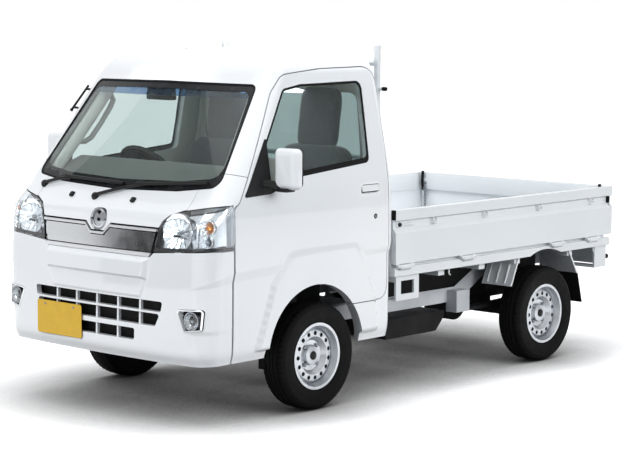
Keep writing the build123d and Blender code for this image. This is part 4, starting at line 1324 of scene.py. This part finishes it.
def makeTailLamps():
    (x0, x1), (z0, z1) = tailLamp["x"], tailLamp["z"]
    pieces = [(roundBox((x0 + 0.008, 0.420, z0), (x1, 0.620, z1), 0.003, 2), "black")]
    for key, y0, y1 in tailLamp["segments"]:
        pieces.append((roundBox((x0, y0, z0 + 0.005), (x0 + 0.010, y1, z1 - 0.005), 0.0035), key))
        for k in range(5):
            z = z0 + 0.013 + 0.0135 * k
            pieces.append((roundBox((x0 + 0.0068, y0 + 0.004, z), (x0 + 0.0078, y1 - 0.004, z + 0.006),
                                    0.0003, 1), "reflector"))
    assemble("tailLampLenses", "chassis", bothSides(pieces), ["rear_lamps"])


makeTailLatches()
makeTailLamps()
print("rear made")

seatShape = {"y": 0.335, "halfWide": 0.236, "power": 5.0, "grid": 22}


def padMesh(half, channels, grid):  # a crowned pad in its own axes, with sewn channels pressed into it
    verts, faces, index = [], [], {}
    power = seatShape["power"]

    def corner(u, v, w):
        key = (round(u, 5), round(v, 5), round(w, 5))
        if key not in index:
            index[key] = len(verts)
            size = (abs(u)**power + abs(v)**power + abs(w)**power) ** (1 / power)
            x, y, z = u / size, v / size, w / size
            pull = 1 - 0.035 * (1 - x * x) * (abs(y) > 0.5)
            sink = sum(deep * np.exp(-((y - at) / 0.035)**2) for at, deep in channels["along"])
            sink += sum(deep * np.exp(-((x - at) / 0.035)**2) for at, deep in channels["across"])
            press = sink * max(z, 0) if z > 0.2 else 0
            verts.append((half[0] * x, half[1] * y * pull, half[2] * z - press))
        return index[key]

    ticks = [2 * k / grid - 1 for k in range(grid + 1)]
    for axis in range(3):
        for end in (-1, 1):
            for a0, a1 in zip(ticks, ticks[1:]):
                for b0, b1 in zip(ticks, ticks[1:]):
                    ring = []
                    for a, b in ((a0, b0), (a1, b0), (a1, b1), (a0, b1)):
                        spot = [0, 0, 0]
                        spot[axis], spot[(axis + 1) % 3], spot[(axis + 2) % 3] = end, a, b
                        ring.append(corner(*spot))
                    faces.append(tuple(ring) if end > 0 else tuple(reversed(ring)))
    return verts, faces


def makeSeat(name, side):
    y, wide, grid = side * seatShape["y"], seatShape["halfWide"], seatShape["grid"]
    sewn = {"along": [(-0.52, 0.010), (0.52, 0.010)], "across": [(0.25, 0.006)]}
    plain = {"along": [], "across": []}
    cushion = placedMesh(padMesh((0.252, wide, 0.074), sewn, grid), Matrix.Translation((0.705, y, 0.768)))
    lean = Matrix.Rotation(radians(-98.0), 4, "Y")
    back = placedMesh(padMesh((0.232, wide, 0.058), sewn, grid), Matrix.Translation((0.490, y, 1.045)) @ lean)
    head = placedMesh(padMesh((0.160, 0.126, 0.040), plain, grid),
                      Matrix.Translation((0.442, y, 1.408)) @ lean)
    seat = assemble("seatPad_" + name, "chassis",
                    [(cushion, "cloth"), (back, "cloth"), (head, "cloth")], ["seat_" + name], 60)


for seatName, seatSide in sideSigns.items():
    makeSeat(seatName, seatSide)
print("seats made")

cabinShape = {
    "wheel": (1.000, -0.330, 1.115), "tilt": 40.0,
    "dashTop": [(1.470, 1.086), (1.335, 1.182), (1.245, 1.214), (1.206, 1.204), (1.196, 1.150),
                (1.212, 1.040), (1.300, 1.000), (1.470, 1.040)],
    "grab": [(1.256, -0.632, 1.280), (1.222, -0.590, 1.280), (1.195, -0.574, 1.300), (1.135, -0.562, 1.375),
             (1.080, -0.556, 1.450), (1.052, -0.562, 1.490), (1.036, -0.605, 1.528)],
}


def makeCabin():
    pieces = [
        (bevelled(prism(cabinShape["dashTop"], "y", -0.600, 0.600), 0.014, 4), "dash"),
        # a near-black face behind the steering wheel: painted shade under its hood, partly its own black
        (roundBox((1.188, -0.450, 1.095), (1.204, -0.210, 1.180), 0.004, 2), "shadeBlack"),
        (roundBox((1.196, -0.120, 0.840), (1.235, 0.150, 1.048), 0.012), "black"),
        (roundBox((1.195, 0.220, 0.840), (1.230, 0.580, 0.945), 0.012), "grey"),
    ]
    pieces.append((tubeMesh(cabinShape["grab"], 0.014, 12), "grey"))
    for y0, y1 in ((-0.105, 0.010), (0.025, 0.138), (0.470, 0.580), (-0.590, -0.490)):  # air vents
        # the vents' openings are near-black: painted shade behind the louvres
        pieces.append((roundBox((1.198, y0, 0.985), (1.222, y1, 1.038), 0.005, 2), "shadeBlack"))
        for k in range(4):
            z = 0.991 + 0.012 * k
            pieces.append((roundBox((1.194, y0 + 0.004, z), (1.206, y1 - 0.004, z + 0.004), 0.001, 1),
                           "black"))
    for k in range(3):
        knob = [(0.0, 0.022), (0.014, 0.021), (0.017, 0.016), (0.019, 0.0)]
        pieces.append((latheMesh(knob, (1.198, -0.070 + 0.085 * k, 0.890), (-1, 0, 0.1), 24), "dash"))
    pod = [(-0.150, 1.512), (0.030, 1.512), (0.020, 1.588), (-0.140, 1.588)]
    pieces.append((bevelled(prism(pod, "x", 1.155, 1.205), 0.010, 3), "black"))
    for y in (-0.094, -0.026):
        lens = [(0.0, 0.006), (0.009, 0.006), (0.013, 0.004), (0.014, -0.004)]
        pieces.append((latheMesh(lens, (1.205, y, 1.556), (1, 0, -0.2), 20), "frit"))
    visor = roundBox((1.030, 0.090, 1.610), (1.140, 0.470, 1.624), 0.006)
    post = []
    for z in np.linspace(1.12, 1.60, 9):  # trim inside the windscreen pillar
        post.append(frontPoint(0.606 - (z - 1.176) * 0.204, z) - Vector((0.064, 0, 0.02)))
    pieces += bothSides([(visor, "liner"), (tubeMesh(post, 0.030, 12), "liner")])
    assemble("cabinTrim", "chassis", pieces)
    tilt = radians(cabinShape["tilt"])
    axis = Vector((-cos(tilt), 0, sin(tilt)))
    centre = Vector(cabinShape["wheel"])
    pad = [(0.0, 0.020), (0.030, 0.0195), (0.052, 0.016), (0.064, 0.008), (0.068, -0.004), (0.060, -0.030)]
    ring = [(0.180 + 0.0148 * cos(2 * pi * k / 14), 0.0148 * sin(2 * pi * k / 14)) for k in range(15)]
    assemble("wheelPad", "steering_wheel", [
        (latheMesh(pad, centre, axis, 36), "dash"), (latheMesh(ring, centre, axis, 72), "black")])
    stalks = []
    for reach in (-1, 1):
        root = centre - axis * 0.075
        tip = root + Vector((0.0, reach * 0.165, 0.012))
        stalks.append((tubeMesh([root, root.lerp(tip, 0.6), tip], [0.007, 0.006, 0.009], 10), "black"))
    shroud = [(0.0, -0.052), (0.036, -0.052), (0.046, -0.060), (0.050, -0.130), (0.040, -0.190)]
    stalks.append((latheMesh(shroud, centre, axis, 28), "dash"))
    assemble("columnStalks", "chassis", stalks)


def makeAerial():  # rod aerial clipped to the right pillar
    low, high = Vector((1.238, -0.682, 1.438)), Vector((1.134, -0.662, 1.566))
    across = Vector((0, -1, 0))
    pieces = [(tubeMesh([low, low.lerp(high, 0.5), high], [0.0065, 0.006, 0.006], 10), "black"),
              (latheMesh([(0.0, -0.003), (0.008, -0.002), (0.009, 0.006), (0.007, 0.012)], low,
                         (high - low), 16), "black")]
    for t in (0.12, 0.85):
        spot = low.lerp(high, t)
        pieces.append((tubeMesh([spot, spot - across * 0.035], 0.006, 8), "black"))
    assemble("pillarAerial", "chassis", pieces)


makeCabin()
makeAerial()
print("cabin made")

looks = {
    "body_paint": "body", "bed_paint": "bed", "frame_paint": "chassis", "glass": "glass", "lamp_lens": "lens",
    "lamp_red": "red", "black_plastic": "black", "dark_gloss": "satin", "grey_trim": "grey",
    "chrome": "chrome",
    "plate_yellow": "plate", "seat_cloth": "cloth", "rubber": "seal", "tyre": "tyre", "rim_paint": "rim",
    "iron": "iron", "steel": "steel",
}
# the mesh behind the bumper openings is near-black: painted shade, partly its own black
nodeLooks = {"dashboard": "dash", "chassis_frame": "frame", "bumper_mesh": "shadeBlack", "cab_floor": "carpet",
             "fuel_tank": "chassis", "exhaust": "iron", "rear_glass": "tinted"}
for part in frame["record"]["subparts"]:
    node = frame["nodes"][part["node"]]
    node.data.materials.clear()
    node.data.materials.append(finish[nodeLooks.get(part["node"], looks[part["material_slot"]])])
    if part["material_slot"] in ("body_paint", "bed_paint", "tyre", "rim_paint"):
        smoothByAngle(node, 30)
print("nodes dressed")

# A pale floor that keeps the shadow, darkened further by ambient occlusion near the object as a painted
# contact shadow, soft boxes and a white surround
stageShape = {
    "floorHalf": 60.0, "floorColour": "#ffffff", "bounceColour": "#6a6c6e", "shadeColour": "#0c0c0c",
    "paintedContactShadow": 0.75, "glow": 0.55,
}
cameraShape = {
    "place": (8.02739, 7.20047, 1.97965), "yaw": -2.40226, "pitch": 0.11402, "roll": 0.00363, "lens": 114.92,
}
lampBoxes = {
    "softboxSide": {"place": (-0.8, 7.4, 3.6), "aim": (-0.3, 0.0, 0.7), "size": (7.0, 2.6), "power": 440.0},
    "softboxFront": {"place": (8.2, -0.8, 3.8), "aim": (1.0, 0.0, 0.7), "size": (4.0, 2.6), "power": 360.0},
    "bedFill": {"place": (-0.2, 0.0, 3.2), "aim": (-1.5, 0.0, 0.7), "size": (1.2, 1.8), "power": 45.0},
    "cabinFill": {"place": (0.800, 0.0, 1.620), "aim": (0.950, 0.0, 0.900), "size": (0.5, 0.9), "power": 3.0},
}
# Dark cards that only polished pieces show, as flags beside a studio set: middle, width, foot and top
darkCards = {
    "flagFront": ((6.77, -3.43), 2.8, (0.02, 1.9)), "flagCamera": ((9.40, 8.50), 5.0, (0.02, 2.4)),
    "flagSide": ((3.20, 6.40), 4.0, (0.02, 1.2)), "flagRear": ((-5.00, 6.00), 4.5, (0.40, 4.8)),
    "flagScreen": ((5.00, -5.00), 4.5, (3.60, 8.2)),
}
skyLamp = {"strength": 0.45, "angle": 40.0, "from": (0.40, -0.10, 1.0)}
skyShape = {"horizon": 0.30, "top": 0.46}


def backgroundRays(tree, rays):  # camera, transmission and glossy rays show the background
    seen = addNode(tree, "ShaderNodeMath", {"operation": "MAXIMUM"},
                   {0: rays.outputs["Is Camera Ray"], 1: rays.outputs["Is Transmission Ray"]})
    shown = addNode(tree, "ShaderNodeMath", {"operation": "MAXIMUM"},
                    {0: seen.outputs["Value"], 1: rays.outputs["Is Glossy Ray"]})
    return shown.outputs["Value"]


def makeStage():
    half = stageShape["floorHalf"]
    material, tree, shader, place = startMaterial("paleStudioFloor", {
        "Base Color": hexColour(stageShape["floorColour"]), "Roughness": 0.9, "Specular IOR Level": 0.1})
    rays = addNode(tree, "ShaderNodeLightPath")
    # ambient occlusion darkens the floor's colour and its glow under and round the object: a painted contact
    # shadow
    paintedContactShadow = addNode(tree, "ShaderNodeAmbientOcclusion", {"samples": 8, "Distance": stageShape["paintedContactShadow"]})
    bare = addNode(tree, "ShaderNodeMath", {"operation": "POWER", 1: 2.2}, {0: paintedContactShadow.outputs["AO"]})
    tones = {"data_type": "RGBA", 6: hexColour(stageShape["shadeColour"]),
             7: hexColour(stageShape["floorColour"])}
    pale = addNode(tree, "ShaderNodeMix", tones, {0: bare.outputs["Value"]})
    tone = addNode(tree, "ShaderNodeMix", {"data_type": "RGBA", 7: hexColour(stageShape["bounceColour"])},
                   {0: rays.outputs["Is Diffuse Ray"], 6: pale.outputs[2]})
    # little light comes back up onto the object
    tree.links.new(tone.outputs[2], shader.inputs["Base Color"])
    shown = backgroundRays(tree, rays)
    glow = addNode(tree, "ShaderNodeMath", {"operation": "MULTIPLY", 1: stageShape["glow"]}, {0: shown})
    tree.links.new(pale.outputs[2], shader.inputs["Emission Color"])
    tree.links.new(glow.outputs["Value"], shader.inputs["Emission Strength"])
    floor = newObject("studioFloor", [(-half, -half, 0), (half, -half, 0), (half, half, 0), (-half, half, 0)],
                      [(0, 1, 2, 3)], [material])
    velvet, tree, shader, place = startMaterial("blackVelvetCard",
                                                {"Base Color": hexColour("#0a0a0b"), "Roughness": 1.0})
    for name, ((x, y), width, (low, high)) in darkCards.items():
        toward = Vector((1.0 - x, -y, 0)).normalized()
        along = Vector((-toward.y, toward.x, 0)) * width / 2
        foot, rise = Vector((x, y, low)), Vector((0, 0, high - low))
        corners = [foot - along, foot + along, foot + along + rise, foot - along + rise]
        card = newObject(name, corners, [(0, 1, 2, 3)], [velvet])
        card.visible_camera = card.visible_diffuse = card.visible_shadow = card.visible_transmission = False
    for name, box in lampBoxes.items():
        light = bpy.data.lights.new(name, "AREA")
        light.shape = "RECTANGLE"
        light.size, light.size_y = box["size"]
        light.energy = box["power"]
        lamp = bpy.data.objects.new(name, light)
        lamp.location = box["place"]
        lamp.visible_glossy = False  # no bright rectangles on the paint
        lamp.rotation_euler = (Vector(box["aim"]) - Vector(box["place"])).to_track_quat("-Z", "Y").to_euler()
        bpy.context.scene.collection.objects.link(lamp)
    sky = bpy.data.lights.new("overheadSky", "SUN")
    sky.energy, sky.angle = skyLamp["strength"], radians(skyLamp["angle"])
    lamp = bpy.data.objects.new("overheadSky", sky)
    lamp.rotation_euler = Vector(skyLamp["from"]).to_track_quat("Z", "Y").to_euler()
    bpy.context.scene.collection.objects.link(lamp)
    world = bpy.data.worlds.new("whiteStudio")
    bpy.context.scene.world = world
    world.use_nodes = True
    tree = world.node_tree
    tree.nodes.clear()
    rays = addNode(tree, "ShaderNodeLightPath")
    shown = backgroundRays(tree, rays)
    place = addNode(tree, "ShaderNodeTexCoord")
    axes = addNode(tree, "ShaderNodeSeparateXYZ", links={"Vector": place.outputs["Generated"]})
    limits = {"From Min": -0.05, "From Max": 0.75, "To Min": skyShape["horizon"], "To Max": skyShape["top"]}
    rise = addNode(tree, "ShaderNodeMapRange", limits, {"Value": axes.outputs["Z"]})
    soft = addNode(tree, "ShaderNodeBackground", {"Color": hexColour("#f3f6fa")},
                   {"Strength": rise.outputs["Result"]})
    white = addNode(tree, "ShaderNodeBackground", {"Color": (1, 1, 1, 1), "Strength": 1.0})
    mix = addNode(tree, "ShaderNodeMixShader", links={
        "Fac": shown, 1: soft.outputs["Background"], 2: white.outputs["Background"]})
    addNode(tree, "ShaderNodeOutputWorld", links={"Surface": mix.outputs["Shader"]})


def makeCamera():
    yaw, pitch, roll = (cameraShape[k] for k in ("yaw", "pitch", "roll"))
    forward = Vector((cos(yaw) * cos(pitch), sin(yaw) * cos(pitch), -sin(pitch)))
    right = forward.cross(Vector((0, 0, 1))).normalized()
    up = right.cross(forward)
    across, above = right * cos(roll) + up * sin(roll), up * cos(roll) - right * sin(roll)
    data = bpy.data.cameras.new("photoCamera")
    data.lens, data.sensor_width = cameraShape["lens"], 36.0
    data.clip_end = 200.0
    camera = bpy.data.objects.new("photoCamera", data)
    turn = Matrix((across, above, -forward)).transposed().to_4x4()
    camera.matrix_world = Matrix.Translation(cameraShape["place"]) @ turn
    bpy.context.scene.collection.objects.link(camera)
    bpy.context.scene.camera = camera


makeStage()
makeCamera()
bpy.context.scene.view_settings.view_transform = "Standard"
bpy.context.view_layer.update()
print("stage set")
